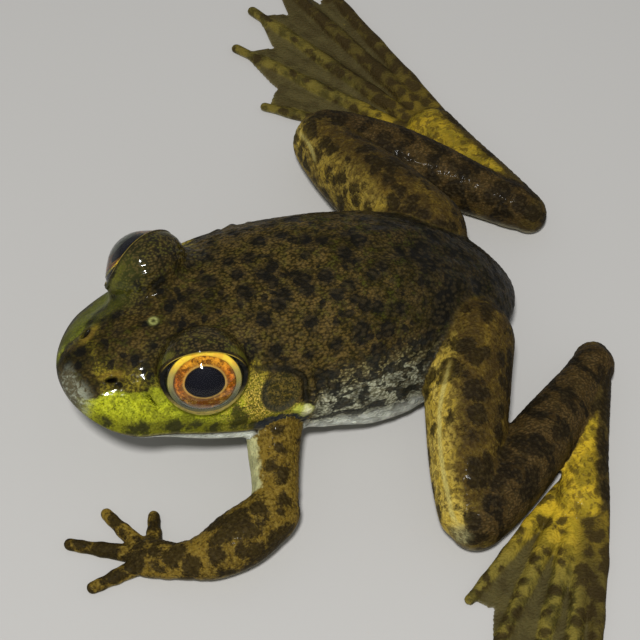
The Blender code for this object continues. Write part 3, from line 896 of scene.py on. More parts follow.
over_lip = z - mouth_height(back)
mouth_reach = smooth(27.6, 25.6, back) * body_side * (np.abs(over_lip) < 4.0)
groove = np.exp(-((over_lip / 0.17) ** 2))
lip = swell(over_lip - 0.65, 0.75)
under = smooth(-0.05, -0.5, over_lip) * smooth(-2.6, -0.8, over_lip)
clay.push(mouth_reach * (0.16 * lip - 0.34 * groove - 0.3 * under))
clay.over_lip = np.where(mouth_reach > 0.02, over_lip, 9.0)
print("nostril points:", int((slit < 1).sum()), "lip points:", int((mouth_reach > 0).sum()))

# %% Eardrum, folds and glands
EAR = ear_place()
FOLD = ((9.6, 20.4, 19.5), (10.6, 24.6, 18.6), (11.9, 28.0, 17.2))
FOLD += ((13.3, 28.5, 14.6), (14.0, 28.3, 12.0), (13.8, 28.4, 9.8))
GROOVE = ((10.4, 21.6, 18.3), (11.4, 25.0, 17.5), (12.3, 27.7, 16.1), (13.2, 27.4, 14.3), (14.0, 27.3, 12.4))
GLAND = ((13.9, 25.6, 12.0), (14.1, 27.3, 11.2))
ARM_FOLD = ((13.6, 31.5, 12.6), (14.1, 30.4, 10.6), (14.0, 29.4, 8.6))

drum = to_point(where, EAR)
drum_edge = np.exp(-(((drum - EAR_RADIUS - 0.2) / 0.4) ** 2))
clay.push(body_side * (0.15 * drum_edge - 0.2 * smooth(EAR_RADIUS, 2.1, drum)))
clay.push(body_side * 0.12 * swell(drum, 1.5))
fold, share = path_distance(where, FOLD)
clay.push(body_side * 0.4 * swell(fold, 1.0) * smooth(0.35, 0.65, share) * smooth(1.0, 0.85, share))
groove, share = path_distance(where, GROOVE)
clay.push(body_side * -0.3 * swell(groove, 0.55) * smooth(0.1, 0.5, share) * smooth(1.0, 0.9, share))
arm_fold, share = path_distance(where, ARM_FOLD)
clay.push(body_side * 0.35 * swell(arm_fold, 0.9) * smooth(0.0, 0.3, share))
gland, share = path_distance(where, GLAND)
gland = gland + 0.45 * (1 - share)
clay.push(body_side * 0.45 * swell(gland, 1.25))
for shift, depth in ((2.0, 0.28), (3.9, 0.18)):
    wrinkle, share = path_distance(where - (0, shift, 0), FOLD[2:])
    clay.push(body_side * depth * swell(wrinkle, 0.8) * smooth(0.0, 0.3, share) * smooth(1.0, 0.7, share))
clay.drum = np.where(body_side, drum, 9.0)
# The distance to the groove under the fold, for the painted shadow along it.
clay.fold_line = np.where(body_side, groove, 9.0)

# The skin over the eye lies in shallow rings round the lid.
wander = np.sin(clay.points @ (0.9, 0.7, 0.4)) + np.sin(clay.points @ (-0.5, 1.1, 0.8))
ringed = smooth(2.2, 3.4, clay.rim_gap) * smooth(6.5, 4.5, clay.rim_gap) * smooth(-0.3, 0.4, clay.rim_up)
clay.push(0.05 * np.sin((clay.rim_gap + 0.3 * wander) * math.tau / 0.9) * ringed)
print("points of the eardrum:", int((clay.drum < EAR_RADIUS).sum()))

# %% [markdown]
# ## Body and limbs
# The rump shows the hip bones as two low ridges, with a shallow groove over the spine. The
# flank hangs in slanting folds, and the skin creases across each joint.

# %% Back, flanks and joints
HIP = ((1.6, 38.0, 22.0), (3.6, 47.0, 19.5), (4.6, 55.0, 14.0))
JOINTS = {
    "left": ((31.6, 9.4, 5.0), (12.6, 33.4, 3.2), (22.9, -12.8, 5.0), (24.7, -26.0, 2.2)),
    "right": ((-32.7, 10.5, 5.0), (-13.9, 33.7, 3.2), (-13.6, -2.6, 4.2), (-12.8, -16.0, 2.2)),
}
body_only = is_part(clay, "body")
hips, share = path_distance(where, HIP)
clay.push(body_only * 0.38 * swell(hips, 2.0) * smooth(0.0, 0.2, share) * smooth(1.0, 0.8, share))
spine = swell(x, 1.5) * smooth(24.0, 30.0, back) * smooth(60.0, 50.0, back) * (z > 10.0)
clay.push(body_only * -0.22 * spine)

slant = back * 0.8 + z * 0.75 + 0.9 * np.sin(back * 0.45) + 0.6 * np.sin(z * 1.1)
flank_zone = smooth(3.0, 6.0, z) * smooth(15.5, 12.0, z) * smooth(28.0, 31.0, back) * smooth(54.0, 49.0, back)
clay.push(body_only * 0.1 * flank_zone * np.sin(slant * math.tau / 2.6))

crease = np.zeros(len(clay.points))
for word, side in SIDES:
    for joint in JOINTS[word]:
        distance = to_point(clay.points, joint)
        crease += swell(distance, 6.5) * np.sin(distance * math.tau / 1.15) * (distance > 1.5)
limbs = is_part(clay, "thigh", "shank", "ankle", "upper", "fore", "palm")
clay.push(limbs * 0.055 * crease)
print("points on the flank folds:", int((flank_zone > 0.1).sum()))

# %% [markdown]
# ## Grains
# A bullfrog's back is covered with fine warts, longer than wide, that lie along the body. A
# nearest-neighbour search gives each point its distance to the closest wart. The search runs
# in a frame that is squeezed along the body, which makes round warts come out long.

# %% Warts over the back and limbs
def wart_height(points, spacing, stretch, seed):
    """1 at the middle of each wart and 0 between warts, and how many warts there are."""
    squeezed = points * np.array(stretch)
    order = np.random.default_rng(seed).permutation(len(points))
    cells = np.floor(squeezed[order] / spacing).astype(int)
    _, first = np.unique(cells, axis=0, return_index=True)
    middles = squeezed[order[first]]
    tree = kdtree.KDTree(len(middles))
    for index, middle in enumerate(middles):
        tree.insert(middle, index)
    tree.balance()
    distance = np.array([tree.find(point)[2] for point in squeezed])
    return swell(distance, 0.62 * spacing), len(middles)


normals = clay.normals()
warts = np.zeros(len(clay.points))
limb_zone = ~is_part(clay, "body", "lid", "web", "toe", "finger")
back_zone = is_part(clay, "body", "lid")
count = 0
kinds = ((back_zone, 0.85, (1.0, 0.6, 1.0), 3), (limb_zone, 0.75, (1.0, 1.0, 1.0), 4))
for zone, spacing, stretch, seed in kinds:
    height, found = wart_height(clay.points[zone], spacing, stretch, seed)
    warts[zone] = height
    count += found
upward = smooth(-0.35, 0.35, normals[:, 2])
head_calm = 1 - 0.75 * smooth(24.0, 16.0, back) * back_zone
face_calm = smooth(1.0, 2.2, clay.rim_gap) * smooth(2.6, 3.2, clay.drum) * smooth(1.5, 2.5, clay.slit)
face_calm *= smooth(0.6, 1.4, np.abs(clay.over_lip))
clay.push(0.075 * (warts - 0.3) * upward * head_calm * face_calm)
clay.points[:, 2] = np.maximum(clay.points[:, 2], 0.0)
clay.write()
print("warts:", count)

# %% [markdown]
# ## Where each colour lies
# The big colour zones of a frog follow its anatomy, so they are worked out from the same
# measures as the folds, and stored on the skin as named attributes from 0 to 1. A few of
# them are painted shade: in the socket, above the lid's rim and under the fold, in the mouth
# and nostrils, and on the far cheek. The materials read them with Attribute nodes and add
# every fine marking on top.

# %% Masks of the head and trunk
def lay(name, values, soften=0):
    """Stores a mask on the skin, after an optional few rounds of softening."""
    values = np.clip(np.asarray(values, float), 0.0, 1.0)[:, None]
    for _ in range(soften):
        values = 0.5 * values + 0.5 * clay.average(values)
    layer = skin_mesh.attributes.new(name, "FLOAT", "POINT")
    layer.data.foreach_set("value", values.ravel().astype(np.float32))


normals = clay.normals()
where = halves(clay.points)
x, back, z = where.T
body = is_part(clay, "body", "lid").astype(float)
head = body * smooth(29.0, 25.0, back)

GREEN_TOP = ((0.0, 15.8), (2.5, 16.7), (4.6, 17.4), (8.0, 17.0), (10.0, 17.4), (13.0, 17.4), (19.0, 18.2))
GREEN_TOP += ((21.5, 17.6), (23.0, 15.6), (24.5, 13.4), (26.5, 12.9), (28.0, 11.5))
green_top = eased(GREEN_TOP, back)
above_mouth = smooth(-0.1, 0.15, z - mouth_height(back))
green = head * smooth(green_top + 0.5, green_top - 0.5, z) * above_mouth
green *= smooth(0.4, 1.8, back + 0.5 * (x > 0))
gilt = head * smooth(green_top + 2.6, green_top, z) * above_mouth
lay("green", green, 2)
lay("jowl", green * smooth(14.0, 19.0, back), 2)
lay("gilt", gilt * smooth(2.0, 4.5, back) * smooth(23.0, 20.0, back), 3)
# Painted shade: the far cheek, turned away from the light, is darkened to a dim olive.
lay("far_cheek_shade", head * smooth(-3.0, -5.5, straight_before[:, 0]) * smooth(16.0, 10.0, back), 4)
lay("face", head * smooth(22.0, 16.0, back), 2)
lay("nape", body * smooth(18.0, 25.0, back) * smooth(38.0, 31.0, back), 2)
lay("rear", body * smooth(36.0, 54.0, back), 2)

belly_line = np.where(back < 27, mouth_height(back), 8.6 - 0.06 * (back - 27))
pale = body * smooth(belly_line + 0.8, belly_line - 1.6, z)
lay("pale", np.maximum(pale * (back > 24), head * (1 - above_mouth)), 4)
FLANK_TOP = ((20.0, 9.0), (28.0, 15.0), (34.0, 16.4), (42.0, 16.4), (50.0, 14.0), (60.0, 8.0))
flank_top = eased(FLANK_TOP, back)
lay("flank", body * smooth(flank_top + 2.0, flank_top - 5.5, z) * smooth(26.5, 29.0, back), 3)
print("points of the green cheeks:", int((green > 0.5).sum()))

# %% Masks of the hind legs
STRIPE = ((14.0, 12.4, 14.0), (16.0, 11.0, 13.4), (19.4, 9.0, 11.4), (24.5, 7.5, 9.8), (29.1, 7.0, 8.5))
STRIPE += ((31.4, 6.6, 7.6), (33.4, 7.2, 6.9), (34.3, 8.2, 6.2))
leg = 1 - body
right_side = clay.side < 0
lateral = np.abs(clay.points[:, 0])
knee = sum(swell(to_point(clay.points, JOINTS[word][0]), 7.0) for word, _ in SIDES)
heel = np.minimum(*(to_point(clay.points, JOINTS[word][1]) for word, _ in SIDES))
kneecap = sum(swell(to_point(clay.points, (side * 33.5, 7.0, 5.8)), 3.6) for _, side in SIDES)
front = smooth(0.1, 0.9, -normals[:, 1]) * is_part(clay, "thigh") * np.where(right_side, 0.6, 1.0)
inner = smooth(0.45, -0.1, normals[:, 1]) * is_part(clay, "ankle") * smooth(3.5, 7.0, heel)
lay("leg", leg, 8)
lay("under", leg * smooth(-0.1, -0.7, normals[:, 2]), 3)
lay("yellow", front + 0.6 * knee * (normals[:, 1] < 0.2) * leg, 6)
lay("kneecap", kneecap * leg, 2)
lay("tarsus", inner, 6)
lay("shank", is_part(clay, "shank") * smooth(-0.2, 0.3, normals[:, 2]), 10)

# Near the hip, the right leg's stripe lies further forward and lower than the left one's.
shift = right_side * smooth(29.0, 17.0, lateral)
forward = clay.points[:, 1] + 3.4 * shift - 1.1 * right_side * smooth(14.0, 31.0, lateral)
stripe, _ = path_distance(np.stack([lateral, forward, clay.points[:, 2] + 2.4 * shift], 1), STRIPE)
lay("stripe", is_part(clay, "thigh", "shank") * smooth(0.75, 0.1, stripe), 3)

bars = np.zeros(len(clay.points))
for word, side in SIDES:
    knee_at, heel_at = (np.array(JOINTS[word][k]) for k in (0, 1))
    along = (clay.points - knee_at) @ unit(heel_at - knee_at)
    bent = along + 0.7 * np.sin(clay.points @ (0.5, 0.4, 0.9)) + 0.5 * np.sin(clay.points @ (-0.9, 0.8, 0.3))
    bars += smooth(0.1, 0.9, np.sin(bent * math.tau / 5.2)) * (clay.side == side)
lay("bars", bars * is_part(clay, "shank"), 3)
print("points of the hind legs' stripes:", int((stripe < 0.75).sum()))

# %% Masks of the feet and arms
ankle, toes = is_part(clay, "ankle"), is_part(clay, "toe", "web")
outer_toes = toes * smooth(33.0, 37.5, clay.points[:, 1] + 0.36 * lateral)
inner_arm = is_part(clay, "upper") * smooth(0.1, 0.8, -normals[:, 1] - 0.3 * normals[:, 2])
lay("foot", toes, 8)
lay("right_foot", (toes | ankle) * right_side, 6)
lay("far_foot", smooth(22.0, 32.0, heel), 2)
lay("web", is_part(clay, "web") * smooth(0.9, 0.5, np.abs(clay.points[:, 2] - 0.4)), 2)
lay("outside", smooth(-0.2, 0.6, normals[:, 1]) * ankle + outer_toes, 6)
lay("arm", is_part(clay, "upper", "fore", "palm", "finger"), 6)
lay("upper", is_part(clay, "upper"), 4)
lay("inner_arm", inner_arm, 6)
print("masks so far:", len(skin_mesh.attributes))

# %% Masks of the eyelids
gap, rim_height = clay.rim_gap, clay.rim_up
lid_green = smooth(0.2, 0.7, gap) * smooth(2.6, 0.9, gap) * smooth(1.0, 0.5, np.abs(rim_height - 0.1))
low_rim = smooth(-0.3, -0.12, gap) * smooth(0.2, 0.02, gap) * smooth(-0.25, -0.75, rim_height)
# Painted shade: inside the lid's rim, where the skin dives under the eyeball, it is painted near black.
lay("socket", smooth(0.1, -0.06, gap))
lay("lid_edge", low_rim)
lay("lid_green", lid_green * (z > 14), 2)
lay("lid_gold", swell(gap + 0.02, 0.14) * smooth(0.2, 0.7, rim_height))
# Painted shadow: a thin dark line on the upper lid, just outside its gold rim.
lay("lid_shadow_line", swell(gap - 0.26, 0.2) * smooth(-0.2, 0.4, rim_height))
lay("eyelid", smooth(0.1, 0.5, gap) * smooth(6.0, 3.2, gap) * smooth(-0.1, 0.5, rim_height), 2)
print("points round the eyes:", int((gap < 2.6).sum()))

# %% Masks of the face
TEMPLE = ((10.6, 21.6, 17.6), (12.4, 20.4, 15.4), (13.4, 20.6, 13.0))
GAPE = ((14.3, 21.0, 10.9), (14.7, 26.4, 10.2))
drum_edge = np.exp(-(((clay.drum - 2.35) / 0.5) ** 2))
brow_edge = np.exp(-(((np.hypot(x, back - 12.6) - 0.42) / 0.18) ** 2))
tip = smooth(3.0, 1.0, back) * smooth(18.0, 17.0, z) * smooth(5.5, 3.5, x)
lay("warts", warts)
lay("lip", mouth_reach * swell(over_lip - 0.34, 0.36), 1)
# Painted shade: a dark line along the groove between the lips.
lay("mouth", mouth_reach * np.exp(-((over_lip / 0.2) ** 2)))
lay("lip_band", mouth_reach * swell(over_lip - 1.1, 2.2) * smooth(-1.0, 3.0, back), 1)
lay("gape", body * swell(path_distance(where, GAPE)[0], 2.2), 1)
lay("patch", body * swell(to_point(where, (12.9, 18.3, 13.4)), 3.0), 1)
lay("temple", body * swell(path_distance(where, TEMPLE)[0], 2.6), 1)
# Painted shade: the nostril's pit is painted near black.
lay("nostril", smooth(1.15, 0.75, clay.slit))
lay("nostril_rim", swell(clay.slit - 1.5, 1.3) * smooth(17.9, 18.6, z), 2)
lay("snout", head * tip * above_mouth * smooth(-2.0, 0.5, straight_before[:, 0]), 2)
lay("brow", head * brow_edge * (z > 15))
lay("ear", smooth(EAR_RADIUS + 0.4, EAR_RADIUS - 0.2, clay.drum), 1)
lay("ear_ring", drum_edge * smooth(2.0, -1.0, (back - EAR_BACK) + (z - EAR_Z)), 1)
# Painted shadow along the groove under the fold behind the eye.
lay("fold_line", smooth(0.75, 0.2, clay.fold_line) * (x > 9.5), 1)
lay("gland", body * swell(gland, 1.9), 1)
lay("gland_end", body * swell(to_point(where, GLAND[1]), 1.9), 1)
print("masks:", len(skin_mesh.attributes))

# %% [markdown]
# ## Writing shaders as sums
# A wrapper round a node's output socket lets shader maths read as ordinary Python. Every
# operator adds one Math node. Colours are mixed with Mix nodes and places with Vector Math,
# because a Math node would turn a colour grey.

# %% The wrapper
class Wire:
    """An output socket that takes part in sums."""

    def __init__(self, tree, socket=None):
        self.tree = tree
        self.socket = socket

    def node(self, kind, settings=None, inputs=None, output=0):
        """Adds any node: first its settings, then its sockets' values or links."""
        made = self.tree.nodes.new(kind)
        for name, value in (settings or {}).items():
            setattr(made, name, value)
        for key, value in (inputs or {}).items():
            if isinstance(value, Wire):
                self.tree.links.new(value.socket, made.inputs[key])
            else:
                made.inputs[key].default_value = value
        return Wire(self.tree, made.outputs[output])

    def sum(self, operation, *values):
        return self.node("ShaderNodeMath", {"operation": operation}, dict(enumerate(values)))

    def __add__(self, other):
        return self.sum("ADD", self, other)

    def __sub__(self, other):
        return self.sum("SUBTRACT", self, other)

    def __rsub__(self, other):
        return self.sum("SUBTRACT", other, self)

    def __mul__(self, other):
        return self.sum("MULTIPLY", self, other)

    def __truediv__(self, other):
        return self.sum("DIVIDE", self, other)

    def __pow__(self, other):
        return self.sum("POWER", self, other)

    __radd__ = __add__
    __rmul__ = __mul__

    def most(self, other):
        return self.sum("MAXIMUM", self, other)

    def step(self, low, high):
        """0 below the low mark and 1 above the high one; the marks may stand the other way."""
        settings = {"interpolation_type": "SMOOTHSTEP"}
        return self.node("ShaderNodeMapRange", settings, {0: self, 1: low, 2: high})

    def mix(self, first, second):
        """The first colour where this is 0 and the second where it is 1."""
        first, second = (c if isinstance(c, Wire) else (*c, 1.0) for c in (first, second))
        return self.node("ShaderNodeMix", {"data_type": "RGBA"}, {0: self, 6: first, 7: second}, 2)

    def mask(self, name):
        return self.node("ShaderNodeAttribute", {"attribute_name": name}, output="Fac")

    def vector(self, operation, first, second):
        return self.node("ShaderNodeVectorMath", {"operation": operation}, {0: first, 1: second})

    def noise(self, place, scale, detail=2.0, roughness=0.5, output="Fac"):
        inputs = {"Vector": place, "Scale": scale, "Detail": detail, "Roughness": roughness}
        return self.node("ShaderNodeTexNoise", None, inputs, output)

    def cells(self, place, scale, output="Distance", feature="F1", randomness=1.0):
        inputs = {"Vector": place, "Scale": scale, "Randomness": randomness}
        return self.node("ShaderNodeTexVoronoi", {"feature": feature}, inputs, output)


print("operators:", sum(name.startswith("__") for name in vars(Wire)))


# %% New materials
def new_material(name, **settled):
    """A material with one Principled shader, its uniform values set on the sockets."""
    made = bpy.data.materials.new(name)
    made.use_nodes = True
    shader = made.node_tree.nodes["Principled BSDF"]
    for socket, value in settled.items():
        shader.inputs[socket.replace("_", " ")].default_value = value
    return made, shader, Wire(made.node_tree)


def millimetres(w):
    """Where a point lies on its own object, in millimetres."""
    return w.vector("MULTIPLY", w.node("ShaderNodeTexCoord", output="Object"), (1 / MM,) * 3)


def layered(colour, *layers):
    """Lays paints over a colour, each by its own share from 0 to 1."""
    for share, paint in layers:
        colour = share.mix(colour, paint)
    return colour


print("materials before the skin:", len(bpy.data.materials))

# %% [markdown]
# ## The skin's colours
# Ground colours first: olive brown above, yellow green on the cheeks, cream below. Then
# the markings: soft dark spots drawn out along the back, pinpoints on the head, black
# marbling on the flanks and blotches on the legs. Last come the warts' pale tips and grain.

# %% Places and noises
skin_look, shader, w = new_material(
    "frog_skin",
    Coat_Roughness=0.08,
    Specular_IOR_Level=0.04,
    Subsurface_Weight=0.06,
    Subsurface_Radius=(1.0, 0.5, 0.2),
    Subsurface_Scale=0.0005,
)
# `at` reads one of the masks that were laid on the skin.
at = w.mask
place = millimetres(w)
drift = w.vector("SUBTRACT", w.noise(place, 0.35, 2, 0.5, "Color"), (0.5, 0.5, 0.5))
drift = w.vector("MULTIPLY", drift, (2.4, 2.4, 2.4))
# Noises read at warped places get frayed, wandering edges.
warped = w.vector("ADD", place, drift)

broad = w.noise(place, 0.13, 3, 0.55)
patchy = w.noise(warped, 0.5, 4, 0.6)
fleck = w.noise(w.vector("MULTIPLY", warped, (2.3, 1.0, 2.3)), 1.0, 3, 0.6)
grit = w.noise(place, 2.4, 3, 0.65)
fine = w.noise(place, 5.0, 3, 0.65)
salt = grit * 0.5 + fine * 0.5
granule = w.cells(w.vector("MULTIPLY", place, (3.3, 2.3, 3.3)), 1.0) + (grit - 0.5) * 1.1


def ragged(mask, patches, grains, low, high):
    """A mask's soft step, its edge broken up by patches and by grains."""
    return (mask + (patchy - 0.5) * patches + (grit - 0.5) * grains).step(low, high)


print("noise nodes:", len(w.tree.nodes))

# %% Ground colours
tone = (broad * 0.6 + patchy).step(0.6, 0.95)
lit = layered(
    tone.mix((0.038, 0.027, 0.004), (0.1, 0.064, 0.015)),
    (w.noise(place, 0.7, 3, 0.6).step(0.5, 0.62), (0.048, 0.046, 0.005)),
    (at("nape") * 0.45, (0.115, 0.074, 0.018)),
    (at("face") * 0.3, (0.025, 0.018, 0.003)),
)
above = tone.mix((0.012, 0.0095, 0.0015), (0.021, 0.014, 0.003))
above = (granule.step(0.78, 0.18) * (0.4 + fleck)).mix(above, lit)
cheek = layered(
    patchy.step(0.4, 0.62).mix((0.43, 0.45, 0.012), (0.26, 0.285, 0.01)),
    (salt.step(0.5, 0.6) * 0.7, (0.52, 0.53, 0.035)),
    (salt.step(0.5, 0.38) * 0.85, (0.08, 0.085, 0.004)),
    ((broad + (patchy - 0.5) * 1.4).step(0.5, 0.3) * 0.7, (0.085, 0.09, 0.008)),
)
limb = layered(
    broad.step(0.4, 0.6).mix((0.1, 0.063, 0.008), (0.15, 0.095, 0.012)),
    (grit.step(0.5, 0.62) * 0.6, (0.2, 0.14, 0.026)),
    (grit.step(0.48, 0.36) * 0.7, (0.024, 0.016, 0.004)),
)
yellow = patchy.step(0.35, 0.65).mix((0.62, 0.46, 0.09), (0.4, 0.28, 0.035))
yellow = (grit.step(0.48, 0.36) * 0.45).mix(yellow, (0.11, 0.07, 0.008))
cream = patchy.step(0.35, 0.65).mix((0.7, 0.72, 0.63), (0.46, 0.48, 0.4))
gilt = grit.step(0.44, 0.6).mix((0.05, 0.04, 0.005), (0.24, 0.19, 0.014))
tan = granule.step(0.6, 0.2).mix((0.05, 0.042, 0.018), (0.22, 0.19, 0.085))
milk = granule.step(0.75, 0.25).mix((0.11, 0.105, 0.062), (0.36, 0.36, 0.25))
brown = granule.step(0.6, 0.25).mix((0.026, 0.017, 0.006), (0.075, 0.046, 0.015))
sole = patchy.step(0.4, 0.62).mix((0.28, 0.2, 0.014), (0.46, 0.31, 0.018))
toes = patchy.step(0.4, 0.6).mix((0.055, 0.045, 0.01), (0.16, 0.125, 0.022))
print("nodes with the ground colours:", len(w.tree.nodes))

# %% Lay the ground colours over each other
green, leg, flank, pale = (at(name) for name in ("green", "leg", "flank", "pale"))
face, arm, foot, under = (at(name) for name in ("face", "arm", "foot", "under"))
hind = leg * (1 - arm)
limb = (hind * (0.62 + (patchy - 0.5) * 1.6)).step(0.0, 1.0).mix(limb, (0.026, 0.016, 0.005))
ground = layered(
    above,
    (ragged(green, 0.5, 0.7, 0.35, 0.85), cheek),
    (ragged(at("gilt") * (1 - green), 1.2, 0.5, 0.3, 0.95) * 0.75, gilt),
    # painted shade on the far cheek
    (at("far_cheek_shade") * 0.8, (0.04, 0.045, 0.006)),
    ((flank + (fleck - 0.5) * 0.7).step(0.15, 0.7), tan),
    (ragged(flank, 0.9, 0.0, 0.6, 0.95), milk),
    (leg, limb),
    (ragged(at("yellow"), 1.3, 0.3, 0.15, 1.2), yellow),
    (at("shank") * 0.9, brown),
    (ragged(at("bars"), 1.3, 0.3, 0.45, 0.85) * 0.9, (0.008, 0.006, 0.003)),
    (ragged(at("tarsus") * 1.9, 1.2, 0.4, 0.35, 0.95), sole),
    (foot, at("far_foot").mix(sole, toes)),
    (at("right_foot") * 0.35, (0.045, 0.035, 0.008)),
    (ragged(at("outside") * 1.2, 1.2, 0.0, 0.2, 1.0) * 0.75, (0.05, 0.036, 0.009)),
    (at("web") * 0.9, (0.062, 0.05, 0.018)),
    (pale, cream),
    (under, (0.42, 0.38, 0.25)),
    (ragged(at("inner_arm"), 1.0, 0.3, 0.35, 0.8), (0.43, 0.42, 0.2)),
    (ragged(at("stripe"), 1.0, 0.4, 0.25, 1.0) * 0.6, (0.46, 0.41, 0.14)),
    (ragged(at("kneecap"), 0.9, 0.4, 0.35, 0.9) * 0.7, (0.3, 0.28, 0.13)),
)
print("nodes with the ground laid:", len(w.tree.nodes))

# %% Spots, pinpoints and marbling
rear, web, stripe, outside = (at(name) for name in ("rear", "web", "stripe", "outside"))
on_back = (1 - leg) * (1 - pale) * (1 - green * 0.9) * (1 - flank * 0.4)
rough = (patchy - 0.5) * 0.35 + (fine - 0.5) * 0.2
size = w.noise(place, 0.25, 1) - 0.5
nudged = w.vector("ADD", place, w.vector("MULTIPLY", drift, (0.4, 0.4, 0.4)))
big = w.cells(nudged, 0.35) + rough - size * 0.35 - rear * 0.08
spots = big.step(0.4, 0.31).most(big.step(0.55, 0.4) * 0.5) * on_back * (1 - face)
small = w.cells(warped, 0.55) + rough - rear * 0.05
specks = small.step(0.36, 0.28) * size.step(-0.1, 0.02) * on_back * (1 - at("eyelid") * 0.4)
pin = w.cells(place, 0.46) + rough * 0.6
pins = pin.step(0.34, 0.26).most(pin.step(0.6, 0.34) * 0.5) * on_back * face * (1 - at("eyelid") * 0.15)
marble = w.noise(w.vector("MULTIPLY", warped, (0.75, 0.5, 0.9)), 1.0, 2, 0.5) + (grit - 0.5) * 0.2
marbling = marble.step(0.47, 0.54) * flank.step(0.1, 0.35) * (1 - leg) * (1 - pale * 0.6)
print("nodes with the back's markings:", len(w.tree.nodes))

# %% Blotches of the limbs
blot = w.cells(warped, 0.4) + rough * 1.5 + (grit - 0.5) * 0.35 + size * 0.5
blot = blot - outside * 0.16 - arm * 0.12 + at("upper") * 0.25
freckle = w.cells(warped, 0.5) + rough * 1.8 + (grit - 0.5) * 0.4 + size * 0.4 - outside * 0.22
blotches = (blot.step(0.6, 0.36) * (1 - foot) + freckle.step(0.54, 0.24) * foot) * leg * (1 - under)
for mask, fading in ((at("tarsus"), 0.7), (web, 0.6), (stripe, 0.8), (at("inner_arm"), 0.7)):
    blotches = blotches * (1 - mask * fading)
mottle = w.noise(warped, 1.1, 3, 0.6).step(0.48, 0.58) * 0.6
mottle = mottle * leg * (1 - arm) * (1 - under) * (1 - foot) * (1 - stripe)

ink = (0.0045, 0.004, 0.0025)
colour = layered(
    ground,
    (mottle, (0.04, 0.024, 0.006)),
    (spots * 0.92, ink),
    (specks * 0.85, ink),
    (pins * 0.95, ink),
    (marbling * 0.92, (0.011, 0.011, 0.008)),
    (rear * (1 - leg) * 0.75, (0.005, 0.0045, 0.003)),
    (blotches * 0.85, foot.mix((0.009, 0.0065, 0.003), (0.026, 0.017, 0.006))),
)
print("nodes with all markings:", len(w.tree.nodes))

# %% The face's marks, and painted shade in its folds and pits
bronze = salt.step(0.43, 0.58).mix((0.07, 0.058, 0.006), (0.32, 0.24, 0.022))
smudge = at("patch").most(at("lip_band") * 0.62)
smudge = ragged(smudge, 2.0, 0.6, 0.42, 0.76) * smudge.step(0.05, 0.3)
grey = (fleck + (patchy - 0.5)).step(0.38, 0.62).mix((0.27, 0.28, 0.2), (0.09, 0.08, 0.045))
lidskin = patchy.step(0.4, 0.6).mix((0.13, 0.085, 0.03), (0.11, 0.105, 0.01))
drumskin = (grit * 0.6 + fine * 0.4).step(0.45, 0.6).mix((0.022, 0.019, 0.004), (0.115, 0.08, 0.014))
colour = layered(
    colour,
    (at("jowl") * (0.1 + patchy * 0.5), (0.1, 0.08, 0.008)),
    (ragged(at("temple"), 1.2, 0.8, 0.25, 0.8) * 0.85, bronze),
    (at("jowl") * fine.step(0.5, 0.6) * 0.85, (0.62, 0.42, 0.08)),
    (at("lip_band") * (0.3 + patchy), (0.06, 0.052, 0.005)),
    (smudge * 0.88, (0.018, 0.018, 0.004)),
    (at("snout") * 0.85, grey),
    (ragged(at("lid_green"), 0.8, 1.2, 0.5, 1.2) * 0.6, (0.12, 0.115, 0.01)),
    (at("eyelid") * granule.step(0.6, 0.2) * (0.1 + patchy * 0.5), lidskin),
    (ragged(at("ear"), 0.0, 0.9, 0.15, 0.95), drumskin),
    (at("ear_ring") * (0.4 + fleck * 0.5), (0.028, 0.03, 0.022)),
    # painted shadow in the groove under the fold
    (at("fold_line") * 0.85, (0.01, 0.009, 0.005)),
    (ragged(at("gape"), 1.1, 0.3, 0.25, 0.5), (0.014, 0.016, 0.016)),
    (ragged(at("gland"), 0.5, 0.7, 0.25, 0.75), (0.36, 0.37, 0.05)),
    (ragged(at("gland_end"), 0.0, 0.6, 0.3, 1.0), (0.56, 0.54, 0.32)),
    (at("lip") * 0.6, (0.2, 0.17, 0.09)),
    # painted shade in the mouth's groove
    (at("mouth"), (0.012, 0.01, 0.006)),
    (at("nostril_rim") * (fleck + 0.1) * 0.8, (0.33, 0.21, 0.025)),
    # painted shade inside the nostril
    (at("nostril"), (0.004, 0.003, 0.002)),
)
print("nodes with the face:", len(w.tree.nodes))

# %% Round the eyes, and the warts' pale tips
tips = at("warts").step(0.45, 0.95) * (1 - web) * (1 - face) * 0.1
colour = layered(
    colour,
    (at("brow") * 0.75, (0.32, 0.33, 0.1)),
    # painted shade in the socket under the lids
    (at("socket"), (0.006, 0.006, 0.005)),
    (at("lid_edge") * (0.2 + fleck), (0.34, 0.27, 0.07)),
    (at("lid_gold"), (0.5, 0.36, 0.05)),
    # painted shadow just outside the upper lid's rim
    (at("lid_shadow_line") * 0.55, (0.012, 0.009, 0.004)),
    (tips, (0.16, 0.115, 0.045)),
)
w.tree.links.new(colour.socket, shader.inputs["Base Color"])
print("nodes with all colours:", len(w.tree.nodes))

# %% Skin surface: wet gloss and grain
grain = granule * -0.7 + grit * 0.4 + fine * 0.3
bump = w.node("ShaderNodeBump", None, {"Strength": 0.8, "Distance": 0.00022, "Height": grain}, "Normal")
w.tree.links.new(bump.socket, shader.inputs["Normal"])
gloss = 0.5 + fine * 0.2
w.tree.links.new(gloss.socket, shader.inputs["Roughness"])
wet = (patchy.step(0.35, 0.65) * 0.15 + 0.05 + at("eyelid") * 0.25) * (1 - leg * 0.85)
w.tree.links.new(wet.socket, shader.inputs["Coat Weight"])
print("skin nodes:", len(skin_look.node_tree.nodes))

# %% The skin object
def world(points):
    return (points + MIDDLE) * MM


